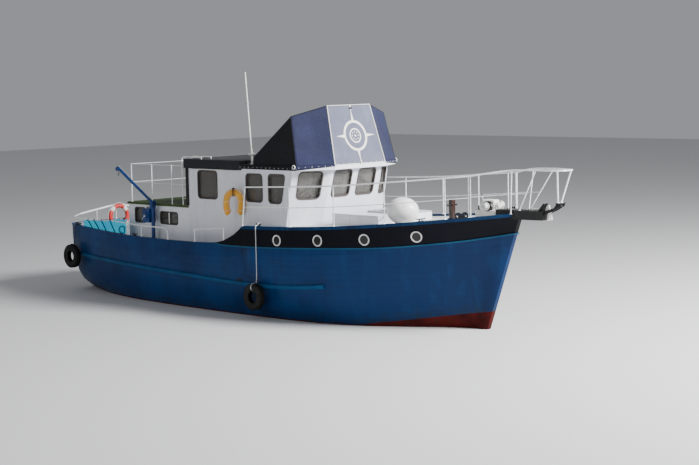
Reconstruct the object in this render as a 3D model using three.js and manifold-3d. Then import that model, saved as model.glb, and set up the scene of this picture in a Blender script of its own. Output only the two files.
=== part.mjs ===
import * as THREE from "three";
import { ConvexGeometry } from "three/addons/geometries/ConvexGeometry.js";
import { mergeVertices } from "three/addons/utils/BufferGeometryUtils.js";
import Module from "manifold-3d";

// A wooden-type motor fishing vessel afloat. Millimetres, +X to the bow, +Y to port, +Z up.
// The origin lies amidships on the centreline, at the waterline.

const wasm = await Module();
wasm.setup();

// Driving dimensions

const seat = 0.3; // running gap between pieces that touch

const hullSize = {
  bulwark: 70, // thickness of the bulwark's planking
  aftDeckTop: 1050,
  deckThickness: 50,
  foredeckDrop: 50, // from the rail cap down to the raised deck
  foredeckThickness: 30,
  raisedFrom: 450, // aft end of the raised deck beside the wheelhouse
  capOut: 35,
  capIn: 105,
};

const house = {
  aft: -2180,
  joint: -100, // where the after house meets the wheelhouse
  half: 1720,
  wall: 50,
  top: 3700,
  wheelhouseSole: 1760,
};

const roof = { lip: 3660, under: 3700, houseTop: 3900, wheelTop: 3800, half: 1800, aft: -2260, joint: -20 };

const cabin = { aft: -4810, half: 1700, wall: 50, top: 2600, roofTop: 2660 };

// Side and front outline of the wheelhouse: x at the foot, x at the top, half breadth
const wheelhousePlan = {
  corner: { footX: 1590, topX: 1865, half: 1720 },
  front: { footX: 1985, topX: 2395, half: 870 },
  footZ: 2200,
};

const propulsion = { shaftZ: -950, propellerX: -6010, rudderX: -6560, keelZ: -1500 };

const derrick = { x: -3450, y: -1935, postTop: 2690, boomReach: 1520, boomRise: 920 };

const companion = { half: 310, sill: 2700, head: 3560, leaf: 34, barrel: 9 };

// Stations of the hull, stern to stem. lean: how far the station follows the raked stem, from 0 to 1.
// P1 and P2 are the two inner control points of the section: share of the half breadth, share of the depth.
const stationColumns = ["x", "lean", "half", "keelHalf", "keelZ", "topZ", "p1y", "p1z", "p2y", "p2z"];
const stations = [
  [-7750, 0, 1330, 80, -60, 2160, 0.9, 0.02, 1.02, 0.25],
  [-7700, 0, 1530, 80, -75, 2160, 0.9, 0.02, 1.02, 0.25],
  [-7540, 0, 1690, 80, -105, 2155, 0.9, 0.02, 1.02, 0.25],
  [-7200, 0, 1815, 80, -165, 2150, 0.9, 0.02, 1.02, 0.24],
  [-6400, 0, 1945, 80, -310, 2120, 0.88, 0.02, 1.03, 0.22],
  [-5000, 0, 2110, 80, -620, 2100, 0.86, 0.02, 1.04, 0.19],
  [-3000, 0, 2205, 80, -880, 2150, 0.85, 0.02, 1.05, 0.17],
  [-500, 0, 2225, 80, -960, 2300, 0.85, 0.02, 1.05, 0.16],
  [2000, 0, 2180, 80, -960, 2480, 0.82, 0.02, 1.04, 0.17],
  [3600, 0.1, 2050, 80, -950, 2570, 0.7, 0.03, 0.98, 0.22],
  [5000, 0.3, 1780, 76, -930, 2680, 0.47, 0.06, 0.83, 0.31],
  [6100, 0.55, 1390, 70, -900, 2790, 0.27, 0.12, 0.64, 0.43],
  [6950, 0.8, 890, 66, -870, 2890, 0.17, 0.22, 0.48, 0.56],
  [7480, 0.93, 440, 62, -850, 2960, 0.2, 0.3, 0.45, 0.64],
  [7800, 1, 60, 60, -840, 3020, 1, 0.33, 1, 0.66],
];

// The stem's profile: a straight rake above water and a rounded forefoot below it
const stem = { atWater: 6670, rake: 0.365, forefootFrom: -100, forefootCurve: 0.00275, topZ: 3020 };

// Lines along the side, as [x, z] points that a smooth curve runs through
const bulwarkLine = [
  [-8600, 1935], [-7500, 1905], [-6690, 1885], [-5500, 1828], [-4350, 1786], [-2630, 1770], [-1300, 1784], [-560, 1812],
];
const stepLine = [[-560, 1816], [-220, 1890], [170, 2060], [380, 2195], [560, 2300]];
const cappingLine = [
  [-1600, 2262], [560, 2300], [2140, 2350], [3590, 2432], [4980, 2540], [6380, 2670], [7310, 2765], [8000, 2845], [9600, 3050],
];
const mouldingLine = [
  [-560, 1812], [-220, 1768], [1010, 1782], [2200, 1828], [3480, 1890], [4890, 1960], [6310, 2105], [7110, 2230],
  [7800, 2360], [9000, 2600],
];
const strakeLine = [[-7700, 1095], [-6500, 1052], [-4350, 980], [-1570, 895], [850, 820], [2200, 862], [3240, 950]];

// Solids

function solidFrom(geometry) {
  const bare = geometry.index ? geometry.toNonIndexed() : geometry.clone();
  const positions = new THREE.BufferGeometry().setAttribute("position", bare.getAttribute("position"));
  const merged = mergeVertices(positions, 1e-3);
  const vertProperties = merged.attributes.position.array;
  const triVerts = new Uint32Array(merged.index.array);
  const solid = new wasm.Manifold(new wasm.Mesh({ numProp: 3, vertProperties, triVerts }));
  if (solid.volume() > 0) return solid;
  triVerts.reverse(); // a skin wound the other way faces inwards
  return new wasm.Manifold(new wasm.Mesh({ numProp: 3, vertProperties, triVerts }));
}

function geometryFrom(solid) {
  const mesh = solid.getMesh();
  const geometry = new THREE.BufferGeometry();
  geometry.setAttribute("position", new THREE.BufferAttribute(new Float32Array(mesh.vertProperties), 3));
  geometry.setIndex(new THREE.BufferAttribute(new Uint32Array(mesh.triVerts), 1));
  geometry.computeVertexNormals();
  return geometry;
}

function join(...solids) {
  return solids.flat().reduce((sum, next) => sum.add(next));
}

function box(x0, x1, y0, y1, z0, z1) {
  const geometry = new THREE.BoxGeometry(x1 - x0, y1 - y0, z1 - z0);
  return solidFrom(geometry.translate((x0 + x1) / 2, (y0 + y1) / 2, (z0 + z1) / 2));
}

// A polygon of [x, z] points, pushed along Y
function sidePlate(points, y0, y1) {
  const shape = new THREE.Shape(points.map(([x, z]) => new THREE.Vector2(x, z)));
  const geometry = new THREE.ExtrudeGeometry(shape, { depth: y1 - y0, bevelEnabled: false, curveSegments: 8 });
  return solidFrom(geometry.rotateX(Math.PI / 2).translate(0, y1, 0));
}

// A polygon of [x, y] points, raised along Z
function planPlate(points, z0, z1) {
  const shape = new THREE.Shape(points.map(([x, y]) => new THREE.Vector2(x, y)));
  const geometry = new THREE.ExtrudeGeometry(shape, { depth: z1 - z0, bevelEnabled: false });
  return solidFrom(geometry.translate(0, 0, z0));
}

function convex(points) {
  return solidFrom(new ConvexGeometry(points.map((p) => new THREE.Vector3(...p))));
}

function tube(points, radius, sides = 8, steps = 1) {
  const ends = points.map((p) => new THREE.Vector3(...p));
  const path = ends.length === 2 ? new THREE.LineCurve3(...ends) : new THREE.CatmullRomCurve3(ends);
  const shape = new THREE.Shape().absarc(0, 0, radius, 0, 2 * Math.PI, false);
  const options = { steps, extrudePath: path, curveSegments: sides / 2, bevelEnabled: false };
  return solidFrom(new THREE.ExtrudeGeometry(shape, options));
}

function rod(from, to, radius, sides = 6) {
  return tube([from, to], radius, sides);
}

function ball(centre, radius, around = 16, along = 10) {
  return solidFrom(new THREE.SphereGeometry(radius, around, along).rotateX(Math.PI / 2).translate(...centre));
}

// A ring of round section, its axis along Y
function ring(centre, radius, thickness, around = 18, across = 6) {
  const profile = [];
  for (let i = 0; i <= across; i += 1) {
    const angle = (i / across) * 2 * Math.PI;
    profile.push(new THREE.Vector2(radius + thickness * Math.cos(angle), thickness * Math.sin(angle)));
  }
  return solidFrom(new THREE.LatheGeometry(profile, around).translate(...centre));
}

function turned(solid, degreesX, degreesY, degreesZ) {
  return solid.rotate([degreesX, degreesY, degreesZ]);
}

// A box with round corners in the x-z plane, used to cut windows
function windowCut(x0, x1, z0, z1, y0, y1, corner = 60) {
  const shape = new THREE.Shape();
  shape.moveTo(x0 + corner, z0).lineTo(x1 - corner, z0).quadraticCurveTo(x1, z0, x1, z0 + corner);
  shape.lineTo(x1, z1 - corner).quadraticCurveTo(x1, z1, x1 - corner, z1);
  shape.lineTo(x0 + corner, z1).quadraticCurveTo(x0, z1, x0, z1 - corner);
  shape.lineTo(x0, z0 + corner).quadraticCurveTo(x0, z0, x0 + corner, z0);
  const geometry = new THREE.ExtrudeGeometry(shape, { depth: y1 - y0, bevelEnabled: false, curveSegments: 2 });
  return solidFrom(geometry.rotateX(Math.PI / 2).translate(0, y1, 0));
}

// Lines and the lofted hull

function smoothLine(points, perSpan = 4) {
  const curve = new THREE.SplineCurve(points.map(([x, z]) => new THREE.Vector2(x, z)));
  return curve.getPoints(perSpan * (points.length - 1)).map((p) => [p.x, p.y]);
}

function lift(line, dz) {
  return line.map(([x, z]) => [x, z + dz]);
}

function levelAt(line, x) {
  const next = line.findIndex((point) => point[0] > x);
  const [x0, z0] = line[next - 1];
  const [x1, z1] = line[next];
  return z0 + ((x - x0) / (x1 - x0)) * (z1 - z0);
}

const wide = 3200;

function regionBetween(lower, upper) {
  return sidePlate([...lower, ...[...upper].reverse()], -wide, wide);
}

function regionBelow(line) {
  const [first, last] = [line[0], line[line.length - 1]];
  return sidePlate([[first[0], -3000], [last[0], -3000], ...[...line].reverse()], -wide, wide);
}

function regionAbove(line) {
  const [first, last] = [line[0], line[line.length - 1]];
  return sidePlate([...line, [last[0], 6000], [first[0], 6000]], -wide, wide);
}

function stemX(z) {
  const drop = Math.max(0, stem.forefootFrom - z);
  return stem.atWater + stem.rake * z - stem.forefootCurve * drop * drop;
}

// One value of the station table at a place between two stations, on a smooth curve
function stationValue(place, column) {
  const index = Math.min(Math.floor(place), stations.length - 2);
  const t = place - index;
  const at = (i) => stations[Math.max(0, Math.min(stations.length - 1, i))][column];
  const [a, b, c, d] = [at(index - 1), at(index), at(index + 1), at(index + 2)];
  return 0.5 * (2 * b + (c - a) * t + (2 * a - 5 * b + 4 * c - d) * t * t + (3 * b - a - 3 * c + d) * t * t * t);
}

function stationAt(place) {
  const named = stationColumns.map((name, column) => [name, stationValue(place, column)]);
  return Object.fromEntries(named);
}

// Half breadth of the hull's top edge at x
function halfAt(x) {
  let place = 0;
  while (place < stations.length - 1 && stationValue(place, 0) < x) place += 0.02;
  return stationValue(place, 2);
}

const girthSteps = 9;
const placesPerStation = 2;

// The whole outer form of the hull, grown by offset on every side, as one closed solid
function hullForm(offset) {
  const rings = [];
  const count = (stations.length - 1) * placesPerStation;
  for (let i = 0; i <= count; i += 1) {
    const s = stationAt(i / placesPerStation);
    const depth = s.topZ - s.keelZ;
    const points = [
      [s.keelHalf, s.keelZ],
      [Math.max(s.keelHalf, s.p1y * s.half), s.keelZ + s.p1z * depth],
      [s.p2y * s.half, s.keelZ + s.p2z * depth],
      [s.half, s.topZ],
    ].map(([y, z]) => new THREE.Vector2(y, z));
    const section = new THREE.CubicBezierCurve(...points).getPoints(girthSteps);
    const endwise = offset * (Math.max(0, (s.x - 6950) / 850) - Math.max(0, (-6400 - s.x) / 1350));
    const side = section.map(({ x: y, y: z }) => {
      const x = s.x - s.lean * (stemX(stem.topZ) - stemX(z)) + endwise;
      return [x, Math.max(1, y + offset), z - offset * (1 - (z - s.keelZ) / depth)];
    });
    rings.push([...[...side].reverse(), ...side.map(([x, y, z]) => [x, -y, z])]);
  }
  return solidFrom(loft(rings));
}

// A skin over rings of points, closed at both ends by rungs from one side to the other
function loft(rings) {
  const width = rings[0].length;
  const positions = rings.flat(2);
  const faces = [];
  for (let r = 0; r < rings.length - 1; r += 1) {
    for (let i = 0; i < width; i += 1) {
      const a = r * width + i;
      const b = r * width + ((i + 1) % width);
      faces.push(a, b, a + width, b, b + width, a + width);
    }
  }
  const last = (rings.length - 1) * width;
  for (let i = 0; i < width / 2 - 1; i += 1) {
    const [a, b, c, d] = [i, i + 1, width - 2 - i, width - 1 - i];
    faces.push(a, d, b, d, c, b);
    faces.push(last + a, last + b, last + d, last + d, last + b, last + c);
  }
  const geometry = new THREE.BufferGeometry();
  geometry.setAttribute("position", new THREE.BufferAttribute(new Float32Array(positions), 3));
  geometry.setIndex(faces);
  return geometry;
}

const outer = hullForm(0);
const inner = hullForm(-hullSize.bulwark);
const bulwarkTop = smoothLine(bulwarkLine);
const stepTop = smoothLine(stepLine);
const cappingTop = smoothLine(cappingLine);
const mouldingAt = smoothLine(mouldingLine);
const deckUnder = lift(cappingTop, -hullSize.foredeckDrop - hullSize.foredeckThickness);
const deckTop = lift(cappingTop, -hullSize.foredeckDrop);
const forwardCapping = cappingTop.filter(([x]) => x > 565);
const raisedTop = [...stepTop, ...forwardCapping];
const aboveSides = regionAbove(lift([...bulwarkTop.slice(0, -1), ...raisedTop], seat));
const postRoot = 40; // how far a post is started below the cap that then trims it

const root = new THREE.Group();

function place(name, solid, look, parent = root) {
  const material = new THREE.MeshStandardMaterial({
    color: look.color,
    roughness: look.roughness,
    metalness: look.metalness ?? 0,
  });
  const mesh = new THREE.Mesh(geometryFrom(solid), material);
  mesh.name = name;
  parent.add(mesh);
  return mesh;
}

const paint = {
  hullBlue: { color: 0x10497c, roughness: 0.45 },
  navy: { color: 0x15152c, roughness: 0.5 },
  capping: { color: 0x2c5f8a, roughness: 0.5 },
  antifouling: { color: 0x5e2626, roughness: 0.85 },
  white: { color: 0xe8e8e6, roughness: 0.45 },
  deckGrey: { color: 0xb9bcbc, roughness: 0.8 },
  deckGreen: { color: 0x4f6b35, roughness: 0.85 },
  glass: { color: 0x2c3136, roughness: 0.08 },
  canvasFront: { color: 0x8f9cb8, roughness: 0.9 },
  steel: { color: 0xd5d8da, roughness: 0.3, metalness: 0.8 },
  bronze: { color: 0x9a7136, roughness: 0.35, metalness: 0.9 },
  black: { color: 0x131316, roughness: 0.7 },
  rubber: { color: 0x1b1b1c, roughness: 0.9 },
  timber: { color: 0x6b452b, roughness: 0.75 },
  cyan: { color: 0x2fb1d6, roughness: 0.9 },
  foam: { color: 0xe0a83e, roughness: 0.8 },
  orange: { color: 0xd8462c, roughness: 0.6 },
  derrickBlue: { color: 0x1d4f8c, roughness: 0.5 },
  engine: { color: 0x4b5a50, roughness: 0.6 },
};

// Hull: solid below the decks, an open well aft and a pocket for the engine

const engineSize = { x0: -1500, x1: -100, half: 360, z0: -560, z1: 460 };
const raisedUnderHouse = box(house.joint + 5, hullSize.raisedFrom, -house.half, house.half, -3000, 6000);
const aftOfRaised = box(-9000, hullSize.raisedFrom, -wide, wide, -3000, 6000).subtract(raisedUnderHouse);
const wellFloor = hullSize.aftDeckTop - hullSize.deckThickness;
const well = inner.intersect(aftOfRaised).intersect(box(-9000, 9000, -wide, wide, wellFloor, 6000));
const hullTopLine = [...lift(bulwarkTop, -30), ...mouldingAt.slice(1).map(([x, z]) => [x, z - seat / 2])];
const enginePocket = box(
  engineSize.x0 - 60, engineSize.x1 + 60, -engineSize.half - 60, engineSize.half + 60, engineSize.z0 - seat, 4000,
);
const stockBore = solidFrom(
  new THREE.CylinderGeometry(40, 40, 400, 16).rotateX(Math.PI / 2).translate(propulsion.rudderX, 0, -280),
);
const raisedSole = box(house.joint - 5, 1400, -1600, 1600, house.wheelhouseSole, 6000);

const belowTopLine = outer.intersect(regionBelow(hullTopLine));
const aboveWellFloor = box(-9000, hullSize.raisedFrom, -wide, wide, wellFloor, 6000).subtract(inner);
place(
  "hull",
  belowTopLine.subtract(well).subtract(aboveWellFloor).subtract(enginePocket).subtract(stockBore).subtract(raisedSole),
  paint.hullBlue,
);
place(
  "aft_bulwark",
  belowTopLine
    .intersect(box(-9000, hullSize.raisedFrom - seat, -wide, wide, wellFloor + seat, 6000))
    .subtract(inner),
  paint.hullBlue,
);

// Keel, deadwood, sole piece and the boss that carries the shaft

const keelForm = [
  [6650, -50], [6490, -330], [5930, -640], [5250, -900], [4650, -1050], [4300, -1110], [-5400, propulsion.keelZ],
  [-6650, propulsion.keelZ], [-6650, -1420], [-5760, -1420], [-5760, -700], [-5700, -300], [-4000, 0], [5000, -200],
];
const shaftBore = rod([-6200, 0, propulsion.shaftZ], [-5500, 0, propulsion.shaftZ], 38.8, 24);
const pintleHole = rod([propulsion.rudderX, 0, -1500 + 20], [propulsion.rudderX, 0, -1400], 20.8, 16);
const keel = join(
  sidePlate(keelForm, -85, 85),
  rod([-5900, 0, propulsion.shaftZ], [-5300, 0, propulsion.shaftZ], 115, 16),
).subtract(hullForm(seat)).subtract(shaftBore).subtract(pintleHole);
place("keel", keel, paint.antifouling);

// Engine

place(
  "engine",
  box(engineSize.x0, engineSize.x1, -engineSize.half, engineSize.half, engineSize.z0, engineSize.z1),
  paint.engine,
);

// Propeller with four raked blades, in its own group on the shaft line

const propellerGroup = new THREE.Group();
propellerGroup.position.set(propulsion.propellerX, 0, propulsion.shaftZ);
root.add(propellerGroup);

const bladePitch = 62;
function propellerBlade(index) {
  const outline = [[60, -40], [200, -150], [340, -165], [425, -60], [425, 60], [330, 150], [200, 130], [60, 40]];
  const shape = new THREE.Shape(outline.map(([r, w]) => new THREE.Vector2(w, r)));
  const geometry = new THREE.ExtrudeGeometry(shape, { depth: 16, bevelEnabled: false });
  const blade = solidFrom(geometry.rotateX(Math.PI / 2).translate(0, 8, 0));
  return turned(turned(blade, 0, 0, bladePitch), index * 90, 0, 0);
}

place(
  "propeller",
  join(
    rod([-110, 0, 0], [100, 0, 0], 85, 16),
    rod([-190, 0, 0], [-105, 0, 0], 45, 12),
    rod([95, 0, 0], [430, 0, 0], 38, 24),
    [0, 1, 2, 3].map(propellerBlade),
  ),
  paint.bronze,
  propellerGroup,
);

// Rudder on its stock

const rudderGroup = new THREE.Group();
rudderGroup.position.set(propulsion.rudderX, 0, 0);
root.add(rudderGroup);
place(
  "rudder",
  join(
    sidePlate([[90, -1380], [90, -560], [40, -480], [-640, -400], [-700, -460], [-660, -1300], [-560, -1380]], -28, 28),
    rod([0, 0, -1470], [0, 0, -140], 35, 12).intersect(
      box(-100, 100, -100, 100, -1400, -100).add(rod([0, 0, -1470], [0, 0, -1390], 20, 16)),
    ),
  ),
  paint.antifouling,
  rudderGroup,
);

// Raised topside, the navy band, with the step down to the after bulwark

const raisedBlock = outer
  .intersect(regionBetween(lift(mouldingAt.slice(1), seat / 2), lift(cappingTop, 400).filter(([x]) => x > -300)))
  .intersect(regionBelow(deckUnder))
  .intersect(box(hullSize.raisedFrom - 1, 9000, -wide, wide, 0, 6000));
const stepBulwark = outer
  .intersect(regionBetween(lift(mouldingAt, seat / 2), raisedTop))
  .intersect(box(-9000, hullSize.raisedFrom, -wide, wide, 0, 6000))
  .subtract(inner);
const underHouse = box(house.joint + 5, hullSize.raisedFrom, -house.half, house.half, 1740, 3000)
  .intersect(regionBetween(lift(mouldingAt.slice(1), seat), lift(cappingTop, 400).filter(([x]) => x > -300)))
  .intersect(regionBelow(deckUnder));
place("raised_topside", join(raisedBlock, stepBulwark, underHouse).subtract(raisedSole), paint.navy);

// Decks

const aftDeck = hullForm(-hullSize.bulwark - 0.4)
  .intersect(aftOfRaised)
  .intersect(box(-9000, hullSize.raisedFrom - seat, -wide, wide, wellFloor + seat, hullSize.aftDeckTop))
  .subtract(box(house.joint + 4, 9000, -house.half - 1, house.half + 1, 0, 6000));
place("aft_deck", aftDeck, paint.deckGrey);

const foredeckPlan = join(
  box(hullSize.raisedFrom, 9000, -wide, wide, 0, 6000),
  box(house.joint + 5, hullSize.raisedFrom, -house.half, house.half, 0, 6000),
);
place(
  "foredeck",
  hullForm(-hullSize.capIn - 1)
    .intersect(regionBetween(lift(deckUnder, seat), deckTop))
    .intersect(foredeckPlan)
    .subtract(raisedSole),
  paint.deckGrey,
);

// Rail caps, mouldings and rubbing strakes

const capStart = [hullSize.raisedFrom - 1, levelAt(stepTop, hullSize.raisedFrom - 1)];
const capRegion = regionBetween(
  lift(deckUnder, seat),
  [[cappingTop[0][0], cappingTop[0][1] + 200], capStart, ...raisedTop.filter(([x]) => x > hullSize.raisedFrom)],
).intersect(box(hullSize.raisedFrom, 9000, -wide, wide, 0, 6000));
place(
  "foredeck_capping",
  hullForm(hullSize.capOut).subtract(hullForm(-hullSize.capIn)).intersect(capRegion),
  paint.capping,
);
place(
  "bulwark_capping",
  hullForm(15)
    .subtract(hullForm(-hullSize.bulwark - 15))
    .intersect(regionBetween(lift(bulwarkTop, -30 + seat), bulwarkTop))
    .intersect(box(-9000, -566, -wide, wide, 0, 6000)),
  paint.hullBlue,
);
place(
  "band_moulding",
  hullForm(22)
    .subtract(hullForm(seat))
    .intersect(regionBetween(lift(mouldingAt, -18), lift(mouldingAt, 18))),
  paint.capping,
);

const strakeAt = smoothLine(strakeLine);
const strakeWide = hullForm(30).intersect(regionBetween(lift(strakeAt, -55), lift(strakeAt, 55)));
const strakeNose = hullForm(52).intersect(regionBetween(lift(strakeAt, -34), lift(strakeAt, 34)));
const strakeBoth = join(strakeWide, strakeNose).subtract(hullForm(seat));
const strakeEnds = box(-7000, 3200, -wide, wide, 0, 3000);
for (const [side, y0, y1] of [["starboard", -wide, 0], ["port", 0, wide]]) {
  place(
    `strake_${side}`,
    strakeBoth.intersect(strakeEnds).intersect(box(-9000, 9000, y0, y1, 0, 3000)),
    paint.capping,
  );
}

// Low after cabin with the poop deck as its roof

const cabinWindows = [
  { x0: -3410, x1: -2700, z0: 2130, z1: 2430 },
  { x0: -4520, x1: -4090, z0: 2120, z1: 2500 },
];
const cabinFront = house.aft - 0.6;
const cabinRoom = box(
  cabin.aft + cabin.wall, cabinFront - cabin.wall, -cabin.half + cabin.wall, cabin.half - cabin.wall, 0, 4000,
);
place(
  "aft_cabin",
  cabinWindows.reduce(
    (walls, w) => walls.subtract(windowCut(w.x0, w.x1, w.z0, w.z1, -wide, wide, 40)),
    box(cabin.aft, cabinFront, -cabin.half, cabin.half, hullSize.aftDeckTop + seat, cabin.top).subtract(cabinRoom),
  ),
  paint.white,
);
place(
  "aft_cabin_glass",
  box(
    cabin.aft + cabin.wall + seat, cabinFront - cabin.wall - seat,
    -cabin.half + cabin.wall + seat, cabin.half - cabin.wall - seat, 2080, 2540,
  ).subtract(
    box(
      cabin.aft + cabin.wall + 8, cabinFront - cabin.wall - 8,
      -cabin.half + cabin.wall + 8, cabin.half - cabin.wall - 8, 0, 4000,
    ),
  ),
  paint.glass,
);
place(
  "poop_deck",
  box(cabin.aft - 30, cabinFront, -cabin.half - 30, cabin.half + 30, cabin.top + seat, cabin.roofTop),
  paint.deckGreen,
);

// After house

const houseWindow = { x0: -1760, x1: -1010, z0: 2890, z1: 3590 };
const houseRoom = box(
  house.aft + house.wall, 9000, -house.half + house.wall, house.half - house.wall, 0, 6000,
);
const doorway = box(house.aft - 10, house.aft + house.wall + 10, -companion.half, companion.half, companion.sill, companion.head);
const houseWalls = box(house.aft, house.joint - seat, -house.half, house.half, hullSize.aftDeckTop + seat, house.top)
  .subtract(houseRoom)
  .subtract(windowCut(houseWindow.x0, houseWindow.x1, houseWindow.z0, houseWindow.z1, -wide, wide, 80))
  .subtract(doorway);
place("house_walls", houseWalls, paint.white);
for (const [side, sign] of [["starboard", -1], ["port", 1]]) {
  const face = sign * (house.half - house.wall - seat);
  const back = face - sign * 8;
  place(
    `house_glass_${side}`,
    box(houseWindow.x0 - 40, houseWindow.x1 + 40, Math.min(face, back), Math.max(face, back), houseWindow.z0 - 40, houseWindow.z1 + 40),
    paint.glass,
  );
}
place(
  "house_roof",
  box(roof.aft, roof.joint - seat, -roof.half, roof.half, roof.lip, roof.houseTop).subtract(
    box(house.aft - 1, 9000, -house.half - 1, house.half + 1, 0, roof.under + seat),
  ),
  paint.navy,
);

// Companion door in the after wall, hinged on its port edge

const doorGroup = new THREE.Group();
doorGroup.position.set(house.aft - companion.barrel - 0.5, companion.half + 12, 0);
root.add(doorGroup);
place(
  "companion_door",
  join(
    box(-companion.leaf - 4, -4, -2 * companion.half - 40, -10, companion.sill - 20, companion.head + 20),
    rod([0, 0, companion.sill + 60], [0, 0, companion.sill + 180], companion.barrel, 12),
    rod([0, 0, companion.head - 180], [0, 0, companion.head - 60], companion.barrel, 12),
    box(-14, 2, -30, 2, companion.sill + 70, companion.sill + 170),
    box(-14, 2, -30, 2, companion.head - 170, companion.head - 70),
  ),
  paint.timber,
  doorGroup,
);

// Wheelhouse: straight sides, two angled facets and a front that leans forward

function wheelhouseForm(inset, low, high) {
  const slope = (point) => (point.topX - point.footX) / (house.top - wheelhousePlan.footZ);
  const rows = [low, high].map((z) => {
    const rise = z - wheelhousePlan.footZ;
    const { corner, front } = wheelhousePlan;
    const cornerX = corner.footX + slope(corner) * rise - inset * 0.6;
    const frontX = front.footX + slope(front) * rise - inset;
    return [
      [house.joint + (inset ? -50 : 0), corner.half - inset, z],
      [cornerX, corner.half - inset, z],
      [frontX, front.half - inset * 0.3, z],
    ];
  });
  const points = rows.flat();
  return convex([...points, ...points.map(([x, y, z]) => [x, -y, z])]);
}

const sideWindows = [
  { x0: 150, x1: 740, z0: 2880, z1: 3560, rake: 0 },
  { x0: 1000, x1: 1440, z0: 2870, z1: 3570, rake: 150 },
];
const frontWindow = { from: 130, to: 730, z0: 3010, z1: 3650 };
const facetWindow = { from: 0.2, to: 0.78, z0: 2990, z1: 3640 };

function sideWindowCut({ x0, x1, z0, z1, rake }) {
  return sidePlate([[x0 + 30, z0], [x1 - 20, z0], [x1, z0 + 40], [x1 + rake - 10, z1 - 40], [x1 + rake - 40, z1],
    [x0 + 20, z1], [x0, z1 - 40], [x0, z0 + 40]], -wide, wide);
}

function facetWindowCut(sign) {
  const { corner, front } = wheelhousePlan;
  const points = [];
  for (const z of [facetWindow.z0, facetWindow.z1]) {
    const share = (z - wheelhousePlan.footZ) / (house.top - wheelhousePlan.footZ);
    const a = [corner.footX + share * (corner.topX - corner.footX), corner.half];
    const b = [front.footX + share * (front.topX - front.footX), front.half];
    for (const t of [facetWindow.from, facetWindow.to]) {
      const x = a[0] + t * (b[0] - a[0]);
      const y = a[1] + t * (b[1] - a[1]);
      points.push([x + 130, sign * (y + 80), z], [x - 130, sign * (y - 80), z]);
    }
  }
  return convex(points);
}

let wheelhouse = wheelhouseForm(0, 2150, house.top)
  .subtract(wheelhouseForm(house.wall, 2000, house.top + 100))
  .intersect(regionAbove(lift(deckTop, seat)));
sideWindows.forEach((w) => {
  wheelhouse = wheelhouse.subtract(sideWindowCut(w));
});
for (const sign of [-1, 1]) {
  const [y0, y1] = [sign * frontWindow.from, sign * frontWindow.to].sort((a, b) => a - b);
  wheelhouse = wheelhouse
    .subtract(box(1900, 2600, y0, y1, frontWindow.z0, frontWindow.z1))
    .subtract(facetWindowCut(sign));
}
place("wheelhouse_walls", wheelhouse, paint.white);
place(
  "wheelhouse_glass",
  wheelhouseForm(house.wall + 1, 2840, 3680)
    .subtract(wheelhouseForm(house.wall + 9, 2700, 3800))
    .intersect(box(80, 9000, -wide, wide, 0, 6000)),
  paint.glass,
);

const visor = [
  [roof.joint, -roof.half], [2085, -roof.half], [2560, -905], [2560, 905], [2085, roof.half], [roof.joint, roof.half],
];
place("wheelhouse_roof", planPlate(visor, roof.under + seat, roof.wheelTop), paint.white);

// Canvas cover over the upper steering place: one sloping top, a front that leans back
const cover = [
  [250, 1780, 3800.3], [2075, 1780, 3800.3], [2545, 895, 3800.3],
  [250, 1765, 4005], [1790, 1660, 5034], [2150, 755, 5275],
];
place("flybridge_cover", convex([...cover, ...cover.map(([x, y, z]) => [x, -y, z])]), paint.canvasFront);

// Helm inside the wheelhouse, seen through its windows

place(
  "helm_console",
  join(
    sidePlate(
      [[1380, house.wheelhouseSole + seat], [1380, 2750], [1250, 2860], [1250, house.wheelhouseSole + seat]], -500, 500,
    ),
    rod([1180, 0, 2700], [1320, 0, 2700], 26, 8),
    turned(ring([0, 0, 0], 300, 16, 20, 6), 0, 0, 90).translate([1180, 0, 2700]),
    rod([1180, -300, 2700], [1180, 300, 2700], 10, 6),
    rod([1180, 0, 2400], [1180, 0, 3000], 10, 6),
  ),
  paint.timber,
);

// Coachroof and hatch ahead of the wheelhouse

const coach = { x0: 2480, x1: 4300, half: 960, top: 2620 };
place(
  "coachroof",
  planPlate(
    [[coach.x0, -coach.half], [coach.x1 - 250, -coach.half], [coach.x1, -coach.half + 250],
      [coach.x1, coach.half - 250], [coach.x1 - 250, coach.half], [coach.x0, coach.half]],
    2200, coach.top,
  ).intersect(regionAbove(lift(deckTop, seat)))
    .subtract(box(3150, 3750, -300, 300, coach.top - 60, 3000)),
  paint.white,
);
const hatch = { x0: 3100, x1: 3800, half: 350, thickness: 45 };
const hatchGroup = new THREE.Group();
hatchGroup.position.set(hatch.x1 + 20, 0, coach.top + 24);
root.add(hatchGroup);
place(
  "hatch_lid",
  join(
    box(hatch.x0 - hatch.x1 - 20, -20, -hatch.half, hatch.half, -24 + 0.5, -24 + hatch.thickness),
    rod([0, -250, 0], [0, 250, 0], 12, 6),
    box(-30, 4, -200, -120, -10, 10),
    box(-30, 4, 120, 200, -10, 10),
  ),
  paint.deckGrey,
  hatchGroup,
);

// Guard rails along the raised deck

const railInset = 70;
const railPosts = [560, 2140, 3560, 4980, 6380, 6850];
const railTop = [[560, 3270], [2140, 3330], [3560, 3395], [4980, 3505], [6380, 3620], [6880, 3665]];
const railHeight = smoothLine(railTop);

function railPoint(x, sign, z) {
  return [x, sign * (halfAt(x + 40) - railInset), z];
}

for (const [side, sign] of [["starboard", -1], ["port", 1]]) {
  const capAt = (x) => levelAt(cappingTop, x);
  const topAt = (x) => levelAt([...railHeight, [6890, 3666]], x);
  const posts = railPosts.map((x) => rod(railPoint(x, sign, capAt(x) - postRoot), railPoint(x, sign, topAt(x)), 14, 6));
  const along = railPosts.map((x) => railPoint(x, sign, topAt(x)));
  const middle = railPosts.map((x) => railPoint(x, sign, (topAt(x) + capAt(x)) / 2 - 20));
  const rail = join(posts, tube(along, 17, 6, 12), tube(middle, 9, 4, 12)).intersect(aboveSides);
  place(`guard_rail_${side}`, rail, paint.steel);
}

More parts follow.
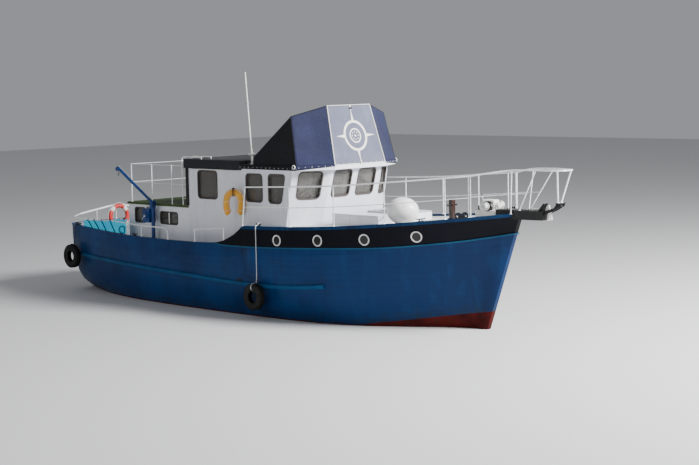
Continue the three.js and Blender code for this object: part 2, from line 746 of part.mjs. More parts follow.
// Bow platform with the anchor roller, the anchor in it, and the pulpit

const platform = { top: 2870, under: 2665, end: 8400, hornTop: 3078 };
const overCaps = hullForm(hullSize.capOut + 0.5).intersect(regionBelow(lift(cappingTop, seat)));
place(
  "bow_platform",
  join(
    planPlate([[7150, -260], [7700, -235], [8250, -170], [platform.end, -120], [platform.end, 120], [8250, 170],
      [7700, 235], [7150, 260]], platform.under, platform.top).subtract(overCaps),
    [-76, 30].map((y) => sidePlate([[8190, platform.top - 30], [8230, platform.top], [8320, 2973], [8390, 3045],
      [8425, 3045], [8390, platform.top - 30]], y, y + 46)),
    [-76, 58].map((y) => sidePlate([[8200, 2780], [8400, 2780], [8700, 2900], [8890, 3010], [8890, 3070], [8765, 3060],
      [8690, 2960], [8400, 2865], [8200, 2865]], y, y + 18)),
    rod([8830, -60, 3020], [8830, 60, 3020], 34, 12),
    box(8770, 8888, -112, 112, 3052, platform.hornTop),
  ),
  paint.black,
);

place(
  "anchor",
  join(
    sidePlate([[7960, platform.top + seat], [8440, platform.top + seat], [8500, 2960], [8500, 3000], [8440, 3000],
      [8400, 2920], [7960, 2920]], -14, 14),
    convex([[8480, -12, 3020], [8480, 12, 3020], [8515, -12, 3010], [8515, 12, 3010], [8430, 0, 2640], [8620, 0, 2680],
      [8540, -62, 2700], [8540, 62, 2700]]),
  ),
  paint.steel,
);

const pulpitTop = 3815;
const pulpitSide = [[6895, 0.9, 3666], [7320, 0.62, 3740], [7740, 0.4, 3795], [8300, 0.33, pulpitTop], [8800, 0.3, pulpitTop]];
function pulpitPath(sign) {
  return pulpitSide.map(([x, y, z], i) => [x, sign * (i === 0 ? halfAt(x + 40) - railInset : y * 1000), z]);
}
const bowLoop = [
  ...pulpitPath(-1), [9010, -190, pulpitTop], [9060, 0, pulpitTop], [9010, 190, pulpitTop], ...pulpitPath(1).reverse(),
];
const pulpitPosts = [-1, 1].flatMap((sign) => [
  rod([7654, sign * 325, levelAt(cappingTop, 7654) - postRoot], [7745, sign * 398, 3795], 15, 6),
  rod([7800, sign * 195, platform.top - 25], [8381, sign * 325, pulpitTop], 15, 6),
  rod([8815, sign * 85, platform.hornTop - 25], [8925, sign * 262, pulpitTop], 20, 8),
]);
const pulpitLower = [-1, 1].map((sign) =>
  tube([[6895, sign * (halfAt(6935) - railInset), 3185], [7695, sign * 358, 3250], [8048, sign * 252, 3275]], 9, 6, 6));
place(
  "pulpit",
  join(
    tube(bowLoop, 19, 6, 30),
    pulpitPosts,
    pulpitLower,
    [-1, 1].map((sign) => rod(
      [6895, sign * (halfAt(6935) - railInset), levelAt(cappingTop, 6895) + 200],
      [6895, sign * (halfAt(6935) - railInset), 3666], 12, 6)),
  ).intersect(aboveSides)
    .subtract(box(7710, 8600, -400, 400, 2600, platform.top + seat))
    .subtract(box(8600, 9100, -400, 400, 2600, platform.hornTop + seat)),
  paint.steel,
);

// Deck gear forward

place(
  "windlass",
  join(
    box(6450, 7080, -170, 170, 2580, 2830),
    box(6560, 7000, -115, 115, 2790, 3080),
    rod([6830, -330, 2925], [6830, 330, 2925], 45, 12),
    rod([6830, -345, 2925], [6830, -215, 2925], 98, 14),
    rod([6830, 215, 2925], [6830, 345, 2925], 98, 14),
  ).intersect(regionAbove(lift(deckTop, seat))),
  paint.white,
);
place(
  "samson_post",
  join(
    box(5530, 5650, -60, 60, 2480, 3020),
    rod([5590, -170, 2890], [5590, 170, 2890], 22, 8),
  ).intersect(regionAbove(lift(deckTop, seat))),
  paint.timber,
);

// Rails aft

const sternHalf = (x) => halfAt(x) - 35;
const sternPipe = 17;
const sternRailColumns = ["x", "z", "post"];
const sternRailRows = [[-2760, 2072, 0], [-3710, 2080, 1], [-5090, 2128, 1], [-6700, 2075, 1], [-7350, 2110, 0]];
const transomRows = [[-700, 2230], [0, 2310], [700, 2230]];
const sternRailPath = (sign) => [
  [-2530, sign * sternHalf(-2530), 1860], [-2580, sign * sternHalf(-2580), 2010],
  ...sternRailRows.map(([x, z]) => [x, sign * sternHalf(x), z]), [-7640, sign * 1330, 2150],
];
const sternRailLine = [
  ...sternRailPath(-1), ...transomRows.map(([y, z]) => [-7695, y, z]), ...sternRailPath(1).reverse(),
];
const transomLine = [[-7640, -1330, 2150], ...transomRows.map(([y, z]) => [-7695, y, z]), [-7640, 1330, 2150]];
const sternRail = join(tube(sternRailLine, sternPipe, 6, 46), tube(transomLine, 26, 8, 12));
const sternPosts = (radius) => [-1, 1].flatMap((sign) =>
  sternRailRows.filter((row) => row[sternRailColumns.indexOf("post")]).map(([x, z]) =>
    rod([x, sign * sternHalf(x), levelAt(bulwarkTop, x) - postRoot], [x, sign * sternHalf(x), z], radius, 6)));
const transomPosts = transomRows.map(([y, z]) =>
  rod([-7695, y, levelAt(bulwarkTop, -7695) - postRoot], [-7695, y, z], 13, 6));
const sternEnds = [-1, 1].map((sign) =>
  rod([-2530, sign * sternHalf(-2530), levelAt(bulwarkTop, -2530) - postRoot], [-2530, sign * sternHalf(-2530), 1880], 15, 6));
const buoyBracket = box(-7700, -7660, -30, 30, 2240, 2300);
place("stern_rail", join(sternRail, sternPosts(13), transomPosts, sternEnds, buoyBracket).intersect(aboveSides), paint.steel);

for (const [side, sign] of [["starboard", -1], ["port", 1]]) {
  const y = (x) => sign * sternHalf(x);
  place(
    `gate_rail_${side}`,
    join(
      rod([-1400, y(-1400), levelAt(bulwarkTop, -1400) - postRoot], [-1400, y(-1400), 2105], 15, 6),
      rod([-250, y(-250), levelAt(stepTop, -250) - postRoot], [-250, y(-250), 2190], 15, 6),
      rod([-1412, y(-1400), 2100], [-238, y(-250), 2186], 16, 6),
    ).intersect(aboveSides),
    paint.steel,
  );
}

const poopRail = { half: 1640, aft: -4730, front: -2330, top: 3700, middle: 3200 };
const poopRailPosts = [];
for (const sign of [-1, 1]) {
  for (const x of [-4730, -3830, -2970, -2330]) {
    poopRailPosts.push(rod([x, sign * poopRail.half, cabin.roofTop + seat], [x, sign * poopRail.half, poopRail.top], 14, 6));
  }
}
const poopLevels = [poopRail.top, poopRail.middle].flatMap((z) => [
  rod([poopRail.front, -poopRail.half, z], [poopRail.aft - 6, -poopRail.half, z], 8, 6),
  rod([poopRail.front, poopRail.half, z], [poopRail.aft - 6, poopRail.half, z], 8, 6),
  rod([poopRail.aft, -poopRail.half, z], [poopRail.aft, poopRail.half, z], 8, 6),
]);
place("poop_rail", join(poopRailPosts, poopLevels), paint.steel);

// Weather cloths laced between the stern rail and the bulwark

const clothGap = 8;
const clothTop = [[-7600, 2110], [-6700, 2090], [-5900, 2124], [-5090, 2143], [-4380, 2125], [-4000, 2115]];

for (const [side, sign] of [["starboard", -1], ["port", 1]]) {
  const clothX = [-6680, -6300, -5600, -4900, -4390];
  const outerEdge = clothX.map((x) => [x, sign * (sternHalf(x) + 36)]);
  const innerEdge = clothX.map((x) => [x, sign * (sternHalf(x) + 15)]).reverse();
  const plan = [...outerEdge, ...innerEdge];
  place(
    `weather_cloth_${side}`,
    planPlate(sign < 0 ? plan : plan.reverse(), 1700, 2300)
      .intersect(regionBetween(lift(bulwarkTop, clothGap), clothTop))
      .subtract(join(tube(sternRailLine, sternPipe + 0.4, 6, 46), sternPosts(13.4))),
    paint.cyan,
  );
}

// Ladder from the poop to the house roof

const ladder = { x: -2450, y0: -1690, y1: -1360, end: -1640 };
const ladderSides = [ladder.y0, ladder.y1].map((y) =>
  join(
    rod([ladder.x, y, cabin.roofTop + seat], [ladder.x, y, 3905], 16, 6),
    tube([[ladder.x, y, 3880], [ladder.x + 14, y, 3924], [ladder.x + 70, y, 3938]], 16, 6, 5),
    rod([ladder.x + 60, y, 3938], [ladder.end, y, 3938], 16),
    rod([ladder.end - 10, y, 3940], [ladder.end - 10, y, roof.houseTop + seat], 16),
  ));
const ladderRungs = [2830, 3142, 3455, 3768].map((z) => rod([ladder.x, ladder.y0, z], [ladder.x, ladder.y1, z], 12, 6));
place("roof_ladder", join(ladderSides, ladderRungs), paint.white);

// Derrick: a socket on the side deck, a post that slews in it with its winch, and the boom

place(
  "derrick_socket",
  solidFrom(
    new THREE.LatheGeometry(
      [[51, 0], [120, 0], [120, 20], [75, 30], [75, 700], [51, 700], [51, 0]].map(([r, z]) => new THREE.Vector2(r, z)), 20,
    ).rotateX(Math.PI / 2),
  ).translate([derrick.x, derrick.y, hullSize.aftDeckTop + seat]),
  paint.derrickBlue,
);
const derrickGroup = new THREE.Group();
derrickGroup.position.set(derrick.x, derrick.y, 0);
root.add(derrickGroup);
place(
  "derrick_post",
  join(
    rod([0, 0, hullSize.aftDeckTop + 10], [0, 0, derrick.postTop - 60], 50, 16),
    box(-320, -40, -110, 110, 2160, 2530),
    rod([-180, -150, 2340], [-180, -105, 2340], 90, 12),
    box(-55, 55, -62, -44, derrick.postTop - 140, derrick.postTop + 60),
    box(-55, 55, 44, 62, derrick.postTop - 140, derrick.postTop + 60),
    rod([0, -70, derrick.postTop], [0, 70, derrick.postTop], 14, 10),
    box(-55, 55, -60, 60, derrick.postTop - 160, derrick.postTop - 90),
  ),
  paint.derrickBlue,
  derrickGroup,
);
const boomGroup = new THREE.Group();
boomGroup.position.set(0, 0, derrick.postTop);
derrickGroup.add(boomGroup);
const boomEnd = [-derrick.boomReach, 0, derrick.boomRise];
place(
  "derrick_boom",
  join(
    rod([-60 * 0.855, 0, 60 * 0.518], boomEnd, 38, 12),
    rod([0, -30, 0], [0, 30, 0], 36, 12),
    rod([0, 0, 0], [-90, 0, 54], 26, 8),
    rod([boomEnd[0] + 20, -45, boomEnd[2] - 40], [boomEnd[0] + 20, 45, boomEnd[2] - 40], 55, 14),
  ).subtract(rod([0, -50, 0], [0, 50, 0], 15, 12)),
  paint.derrickBlue,
  boomGroup,
);

// Aerial, lifebuoys and fenders

place(
  "whip_aerial",
  join(
    rod([140, -1500, roof.wheelTop + seat], [140, -1500, 4100], 28, 10),
    rod([140, -1500, 4050], [-40, -1500, 6150], 14, 6),
  ),
  paint.white,
);

const horseshoeShape = [[-200, -360], [-200, 60], [-150, 220], [0, 290], [150, 220], [200, 60], [200, -360]];
const horseshoe = tube(horseshoeShape.map(([x, z]) => [x, 0, z]), 88, 8, 14);
place(
  "horseshoe_buoy",
  join(
    turned(horseshoe, 0, 0, 45).translate([-80, -1965, 2860]),
    rod([-210, -house.half - seat, 3020], [-210, -1860, 3020], 14, 6),
    rod([100, -house.half - seat, 3020], [100, -1960, 3020], 14, 6),
    box(-240, 130, -house.half - 10, -house.half - seat, 3000, 3040),
  ),
  paint.foam,
);

place(
  "ring_buoy",
  join(
    turned(ring([0, 0, 0], 310, 62, 22, 6), 0, 0, 90).translate([-7560, 0, 1990]),
    box(-7660 + seat, -7540, -30, 30, 2245, 2295),
  ),
  paint.orange,
);

const ballFender = { x: 5055, y: -1150, long: 405, wide: 360, high: 327 };
const fenderCentre = [ballFender.x, ballFender.y, levelAt(deckTop, ballFender.x) + ballFender.high - 6];
const [fenderX, fenderY, fenderZ] = fenderCentre;
place(
  "ball_fender",
  join(
    ball([0, 0, 0], 1, 18, 11).scale([ballFender.long, ballFender.wide, ballFender.high]).translate(fenderCentre),
    rod([fenderX - 340, fenderY, fenderZ + 60], [fenderX - 480, fenderY, fenderZ + 100], 48, 10),
  ).intersect(regionAbove(lift(deckTop, seat))),
  paint.white,
);

const tyre = { radius: 240, thickness: 95 };

// All that lies outboard of a place, and above the rail's cap inboard of it
function tyreRopeRegion(capEdge) {
  return join(box(-9000, 9000, -4000, capEdge, -3000, 6000), aboveSides);
}
place(
  "tyre_fender_quarter",
  join(
    ring([-7150, -2010, 1010], tyre.radius, tyre.thickness, 18, 6),
    rod([-7150, -1960, 1320], [-7150, -1875, 1930], 12, 6),
    rod([-7150, -1875, 1925], [-7150, -1790, 1912], 12, 6),
    box(-7170, -7130, -1830, -1770, 1850, 1925),
  ).intersect(tyreRopeRegion(-1860)),
  paint.rubber,
);
place(
  "tyre_fender_side",
  join(
    ring([1070, -2375, 560], tyre.radius, tyre.thickness, 18, 6),
    rod([1070, -2330, 840], [1070, -2262, 2335], 11, 6),
    rod([1070, -2262, 2335], [1070, -2150, 2328], 11, 6),
    box(1050, 1090, -2190, -2130, 2260, 2335),
  ).intersect(tyreRopeRegion(-2242)),
  paint.rubber,
);

// Steps from the side deck up to the raised deck

for (const [side, sign] of [["starboard", -1], ["port", 1]]) {
  place(
    `deck_steps_${side}`,
    join(
      [0, 1, 2].map((i) => box(
        -560 + i * 330, -300 + i * 330,
        sign < 0 ? -2080 : 1760, sign < 0 ? -1760 : 2080,
        1330 + i * 300, 1365 + i * 300,
      )),
      sidePlate([[-560, 1050.3], [440, 2010], [440, 2090], [360, 2090], [-640, 1130], [-640, 1050.3]],
        sign < 0 ? -1790 : 1760, sign < 0 ? -1760 : 1790),
      sidePlate([[-560, 1050.3], [440, 2010], [440, 2090], [360, 2090], [-640, 1130], [-640, 1050.3]],
        sign < 0 ? -2080 : 2050, sign < 0 ? -2050 : 2080),
    ),
    paint.deckGrey,
  );
}

export default root;
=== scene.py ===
from math import atan2, copysign, cos, degrees, exp, pi, radians, sin, sqrt

import bmesh
import bpy
from mathutils import Matrix, Vector, noise
from mathutils.bvhtree import BVHTree


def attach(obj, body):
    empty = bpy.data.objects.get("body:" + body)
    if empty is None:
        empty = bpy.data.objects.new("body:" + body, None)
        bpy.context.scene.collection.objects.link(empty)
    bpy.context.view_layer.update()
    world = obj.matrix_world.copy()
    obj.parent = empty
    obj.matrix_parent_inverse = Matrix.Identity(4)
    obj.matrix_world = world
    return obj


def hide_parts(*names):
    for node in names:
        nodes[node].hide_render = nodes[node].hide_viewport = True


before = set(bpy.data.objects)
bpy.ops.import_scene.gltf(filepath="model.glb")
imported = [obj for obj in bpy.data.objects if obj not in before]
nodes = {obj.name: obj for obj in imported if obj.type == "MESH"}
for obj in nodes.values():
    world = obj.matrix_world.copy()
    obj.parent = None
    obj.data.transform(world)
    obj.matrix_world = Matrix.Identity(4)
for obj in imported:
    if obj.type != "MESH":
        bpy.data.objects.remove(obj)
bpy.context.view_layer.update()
vessel = "vessel"
sides = ((-1, "starboard"), (1, "port"))
print("frame loaded")


def placed(name, data):
    # A new object in the scene
    made = bpy.data.objects.new(name, data)
    bpy.context.scene.collection.objects.link(made)
    return made


# Camera: ahead of the beam on the starboard side, a little above the wheelhouse
shot = {"place": (30.77, -28.66, 6.01), "turn": 45, "down": 5.6, "roll": 1.1, "lens": 82.4, "sensor": 36}


def aimCamera():
    turn, down, roll = (radians(shot[key]) for key in ("turn", "down", "roll"))
    level = cos(down)
    ahead = Vector((-sin(turn) * level, cos(turn) * level, -sin(down)))
    right = Vector((cos(turn), sin(turn), 0))
    up = right.cross(ahead)
    across = right * cos(roll) - up * sin(roll)
    upright = right * sin(roll) + up * cos(roll)
    data = bpy.data.cameras.new("camera")
    data.lens, data.sensor_width, data.clip_end = shot["lens"], shot["sensor"], 400
    camera = placed("camera", data)
    facing = Matrix((across, upright, -ahead)).transposed().to_4x4()
    camera.matrix_world = Matrix.Translation(shot["place"]) @ facing
    bpy.context.scene.camera = camera


aimCamera()


# Materials. Colours are given as 0 to 255 and made linear where a socket takes them.
def tint(colour, share=1):
    return tuple(share * (channel / 255) ** 2.2 for channel in colour) + (1,)


class Shading:
    # A material, with short ways to add nodes to it and link them
    def __init__(self, name):
        self.material = bpy.data.materials.new(name)
        self.material.use_nodes = True
        self.tree = self.material.node_tree
        self.shader = self.tree.nodes["Principled BSDF"]

    def feed(self, socket, value):
        if isinstance(value, bpy.types.NodeSocket):
            self.tree.links.new(value, socket)
        elif socket.type == "RGBA" and len(value) == 3:
            socket.default_value = tint(value)
        else:
            socket.default_value = value

    def put(self, values):
        for key, value in values.items():
            self.feed(self.shader.inputs[key], value)

    def node(self, kind, values=(), **settings):
        # Values go to the first sockets in turn, or to those that they name
        made = self.tree.nodes.new("ShaderNode" + kind)
        for key, value in settings.items():
            setattr(made, key, value)
        for key, value in values.items() if isinstance(values, dict) else enumerate(values):
            self.feed(made.inputs[key], value)
        return made

    def reckon(self, operation, *values):
        return self.node("Math", values, operation=operation).outputs[0]

    def times(self, *values):
        return self.reckon("MULTIPLY", *values)

    def mix(self, share, first, second):
        return self.node("Mix", {0: share, 6: first, 7: second}, data_type="RGBA").outputs[2]

    def spread(self, value, low, high, start=0.0, end=1.0):
        return self.node("MapRange", (value, low, high, start, end)).outputs[0]

    def point(self):
        return self.node("TexCoord").outputs["Object"]

    def along(self, axis):
        return self.node("SeparateXYZ", (self.point(),)).outputs[axis]

    def normal(self):
        return self.node("NewGeometry").outputs["Normal"]

    def stretched(self, stretch):
        return self.node("Mapping", {"Vector": self.point(), "Scale": stretch}).outputs[0]

    def clouds(self, scale, detail=4.0, stretch=(1, 1, 1), rough=0.55):
        values = {"Vector": self.stretched(stretch), "Scale": scale, "Detail": detail, "Roughness": rough}
        return self.node("TexNoise", values).outputs["Fac"]

    def patches(self, scale, low, high, share=1.0, detail=6, stretch=(1, 1, 1), rough=0.55):
        # Clouds drawn together between two levels; share says how strongly they show
        return self.times(self.spread(self.clouds(scale, detail, stretch, rough), low, high), share)

    def uneven(self, scale, low, high, detail=4):
        return self.spread(self.clouds(scale, detail), 0.3, 0.7, low, high)

    def relief(self, height, depth, strength, under=None):
        values = {"Strength": strength, "Distance": depth, "Height": height}
        if under:
            values["Normal"] = under
        made = self.node("Bump", values).outputs[0]
        self.put({"Normal": made})
        return made

    def seams(self, across, pitch, width):
        # 1 in the seam between two planks, 0 on the plank
        share = self.reckon("FRACT", self.reckon("DIVIDE", across, pitch))
        off = self.reckon("ABSOLUTE", self.reckon("SUBTRACT", share, 0.5))
        return self.spread(off, 0.5 - width / pitch, 0.5)

    def plankSeams(self):
        # Seams of planks that follow the sheer
        ahead = self.reckon("SUBTRACT", self.along("X"), hullPaint["lowest"])
        lift = self.times(self.times(ahead, ahead), hullPaint["sheer"])
        return self.seams(self.reckon("SUBTRACT", self.along("Z"), lift), hullPaint["plank"], 0.008)

    def inboard(self):
        # Faces turned to the middle of the ship, and the house's flank beside the deck steps
        facing = self.times(self.node("SeparateXYZ", (self.normal(),)).outputs["Y"], self.along("Y"))
        beside = [self.reckon("LESS_THAN", self.reckon("ABSOLUTE", self.along(axis)), most)
                  for axis, most in (("X", 0.6), ("Y", 1.9))]
        return self.reckon("MAXIMUM", self.spread(facing, -0.05, -0.2), self.times(*beside))

    def turnedForward(self):
        return self.node("SeparateXYZ", (self.normal(),)).outputs["X"]

    def timberOf(self, grain, seam, light, dark):
        boards = self.mix(grain, dark, light)
        return self.mix(seam, boards, tint(dark, 0.15)) if seam else boards


def paintFinish(name, colour, second, gloss, patchSize=2.2, streak=None, streakShare=0.0, streakSize=7.0,
                worn=None, wornShare=0.6, wornSize=26.0, metal=0, coat=0, grainSize=90.0, grainDepth=0.0006,
                grainStretch=(1, 1, 1), room=None):
    # A painted or moulded surface: two close colours in patches, run-off streaks, worn spots, uneven gloss
    # and fine grain. Faces that look towards the middle of a given room are varnished boards.
    s = Shading(name)
    shade = s.mix(s.patches(patchSize, 0.35, 0.68, detail=5), colour, second)
    if streak:
        shade = s.mix(s.patches(streakSize, 0.52, 0.74, streakShare, 5, (1, 1, 0.09)), shade, streak)
    if worn:
        shade = s.mix(s.patches(wornSize, 0.64, 0.7, wornShare, 8, rough=0.7), shade, worn)
    if room:
        away = s.node("VectorMath", (s.point(), room), operation="SUBTRACT").outputs[0]
        facing = s.node("VectorMath", (away, s.normal()), operation="DOT_PRODUCT").outputs["Value"]
        seam = s.seams(s.reckon("ADD", s.along("X"), s.along("Y")), 0.12, 0.006)
        grain = s.spread(s.clouds(16.0, 8, (1, 1, 0.1), 0.65), 0.3, 0.7)
        boards = s.timberOf(grain, seam, (166, 112, 66), (110, 66, 36))
        shade = s.mix(s.reckon("LESS_THAN", facing, -0.4), shade, boards)
    s.put({"Base Color": shade, "Roughness": s.uneven(9.0, *gloss, 3), "Metallic": metal, "Coat Weight": coat,
           "Coat Roughness": 0.12})
    s.relief(s.clouds(grainSize, 4, grainStretch), grainDepth, 0.6)
    return s.material


def woodFinish(name, light, dark, gloss, pitch=0.0):
    # Upright grain, with boards of the given pitch
    s = Shading(name)
    stretch = (1, 1, 0.12)
    grain = s.clouds(22.0, 8, stretch, 0.65)
    rings = s.node("TexWave", {"Vector": s.stretched(stretch), "Scale": 9, "Distortion": 6, "Detail": 3},
                   wave_type="BANDS", bands_direction="X").outputs["Fac"]
    figure = s.reckon("ADD", s.times(grain, 0.6), s.times(rings, 0.4))
    gap = s.seams(s.along("X"), pitch, 0.006) if pitch else None
    s.put({"Base Color": s.timberOf(s.spread(figure, 0.3, 0.75), gap, light, dark),
           "Roughness": s.spread(grain, 0.3, 0.7, *gloss), "Coat Weight": 0.3, "Coat Roughness": 0.15})
    s.relief(s.reckon("SUBTRACT", figure, s.times(gap, 3.0)) if gap else figure, 0.0012, 0.5)
    return s.material


# The topsides and bottom: planks that follow the sheer, antifouling below a rising line, a paler inner side
hullPaint = {
    "plank": 0.165, "sheer": 0.0055, "lowest": -1.0, "rise": 0.14, "riseFrom": 3.9, "line": 0.03,
    # deep is the darker blue of the forward planks, painted shade against the key light on the bow
    "blue": (0, 58, 108), "deep": (0, 41, 80), "chalk": (0, 72, 122), "soot": (0, 24, 48),
    "bowShadeSpan": (0.5, 6.5),
    "bottom": (88, 30, 26), "bottomOld": (56, 20, 20), "weed": (40, 44, 30), "inside": (138, 144, 152),
    "insideOld": (112, 118, 124), "insideFoot": 0.99, "transom": -7.0,
}


def hullFinish():
    s = Shading("hull_paint")
    h = hullPaint
    # The forward planks are painted a deeper blue, painted shade that evens out the key light falling on the
    # bow
    deep = s.reckon("MAXIMUM", s.spread(s.along("X"), *h["bowShadeSpan"]), s.patches(0.9, 0.35, 0.7))
    blue = s.mix(deep, h["blue"], h["deep"])
    blue = s.mix(s.patches(5.0, 0.5, 0.8, 0.35, stretch=(1, 1, 0.08)), blue, h["chalk"])
    blue = s.mix(s.patches(3.4, 0.62, 0.72, 0.4, 8, (0.35, 1, 2.2), 0.72), blue, h["soot"])
    gap = s.plankSeams()
    blue = s.mix(s.times(gap, 0.28), blue, h["soot"])
    height = s.along("Z")
    rise = s.times(s.reckon("SUBTRACT", s.along("X"), h["riseFrom"]), h["rise"])
    line = s.reckon("ADD", s.reckon("MAXIMUM", rise, 0.0), h["line"])
    over = s.reckon("SUBTRACT", height, line)
    scum = s.times(s.spread(over, 0.28, 0.0), s.patches(6.0, 0.35, 0.65))
    blue = s.mix(s.times(scum, 0.55), blue, h["weed"])
    red = s.mix(s.patches(2.0, 0.35, 0.65), h["bottom"], h["bottomOld"])
    red = s.mix(s.patches(7.0, 0.55, 0.72, 0.5, 8, (1, 1, 0.6)), red, h["weed"])
    above = s.spread(s.reckon("ADD", over, s.times(s.clouds(14.0, 2), 0.006)), 0.0, 0.008)
    astern = s.times(s.reckon("GREATER_THAN", s.turnedForward(), 0.3),
                     s.reckon("LESS_THAN", s.along("X"), h["transom"]))
    within = s.reckon("MAXIMUM", s.inboard(), astern)
    within = s.times(within, s.reckon("GREATER_THAN", height, h["insideFoot"]))
    white = s.mix(s.patches(4.0, 0.4, 0.65), h["inside"], h["insideOld"])
    rough = s.node("Mix", {0: above, 2: 0.85, 3: s.uneven(5.0, 0.3, 0.46)}, data_type="FLOAT").outputs[0]
    s.put({"Base Color": s.mix(within, s.mix(above, red, blue), white), "Roughness": rough,
           "Specular IOR Level": 0.16})
    coarse = s.relief(s.times(gap, -1.0), 0.0022, 0.7)
    s.relief(s.clouds(3.0, 6), 0.004, 0.35, coarse)
    return s.material


def bandFinish(name, base, second, worn, gloss, inner=None):
    # Paint over planking that follows the sheer; the faces turned to the deck may be paler
    s = Shading(name)
    colour = s.mix(s.patches(1.6, 0.35, 0.7), base, second)
    colour = s.mix(s.patches(6.0, 0.55, 0.8, 0.25, stretch=(1, 1, 0.1)), colour, worn)
    if inner:
        aft = s.spread(s.turnedForward(), -0.7, -0.8)
        colour = s.mix(s.reckon("MAXIMUM", s.inboard(), aft), colour, inner)
    s.put({"Base Color": colour, "Specular IOR Level": 0.14, "Roughness": s.uneven(6.0, *gloss)})
    coarse = s.relief(s.times(s.plankSeams(), -1.0), 0.0018, 0.5)
    s.relief(s.clouds(4.0, 5), 0.003, 0.3, coarse)
    return s.material


def deckFinish(name, base, second, seam, pitch=0.11):
    # Laid planks under paint, with a sanded non-slip grain
    s = Shading(name)
    colour = s.mix(s.patches(1.4, 0.35, 0.68), base, second)
    colour = s.mix(s.patches(3.6, 0.56, 0.7, 0.45, 8, rough=0.7), colour, seam)
    gap = s.seams(s.along("Y"), pitch, 0.007)
    s.put({"Base Color": s.mix(s.times(gap, 0.8), colour, seam), "Roughness": s.uneven(8.0, 0.6, 0.85)})
    coarse = s.relief(s.times(gap, -1.0), 0.003, 0.7)
    s.relief(s.clouds(160.0, 3), 0.0012, 0.6, coarse)
    return s.material


def clothFinish(name, base, second, threads=420.0, gloss=0.82, sheen=0.25, crease=0.006, fadeAndHighlight=None,
                through=0.0):
    # Woven cloth: two crossed sets of threads on the piece's own map, slow folds, and paler patches that are
    # partly fading and partly painted highlight
    s = Shading(name)
    flat = s.node("UVMap").outputs[0]
    both = [s.node("TexWave", {"Vector": flat, "Scale": threads, "Distortion": 0.6}, wave_type="BANDS",
                   bands_direction=direction).outputs["Fac"] for direction in ("X", "Y")]
    weave = s.times(*both)
    colour = s.mix(s.patches(1.7, 0.32, 0.7), base, second)
    # Paler patches: partly fading, partly painted highlight
    if fadeAndHighlight:
        colour = s.mix(s.patches(3.3, 0.5, 0.75, 0.5, 8, (1, 1, 0.5), 0.7), colour, fadeAndHighlight)
    s.put({"Base Color": s.mix(s.times(weave, 0.18), colour, second),
           "Roughness": s.uneven(30.0, gloss - 0.08, gloss + 0.08, 3), "Sheen Weight": sheen,
           "Sheen Roughness": 0.4})
    if through:
        # Thin cloth that glows where the light is behind it
        s.put({"Subsurface Weight": through, "Subsurface Radius": (0.5, 0.9, 1.0), "Subsurface Scale": 0.02})
    coarse = s.relief(s.clouds(7.0, 6, (1, 1, 0.6)), crease, 0.5)
    s.relief(weave, 0.0006, 0.6, coarse)
    return s.material


def ropeFinish(name, base, second):
    # Laid strands that wind round the rope
    s = Shading(name)
    strands = s.node("TexWave", {"Vector": s.point(), "Scale": 1 / 0.018 / 6, "Distortion": 1.5},
                     wave_type="BANDS", bands_direction="DIAGONAL").outputs["Fac"]
    s.put({"Base Color": s.mix(strands, base, second), "Roughness": s.uneven(60.0, 0.75, 0.92, 3)})
    s.relief(strands, 0.002, 0.8)
    return s.material


def glassFinish(name, base):
    s = Shading(name)
    s.put({"Base Color": s.mix(s.clouds(3.0, 3), base, tint(base, 0.7)), "Transmission Weight": 0.86,
           "IOR": 1.45, "Roughness": s.spread(s.clouds(5.0, 5), 0.4, 0.75, 0.04, 0.11)})
    s.relief(s.clouds(2.4, 2), 0.003, 0.12)
    return s.material


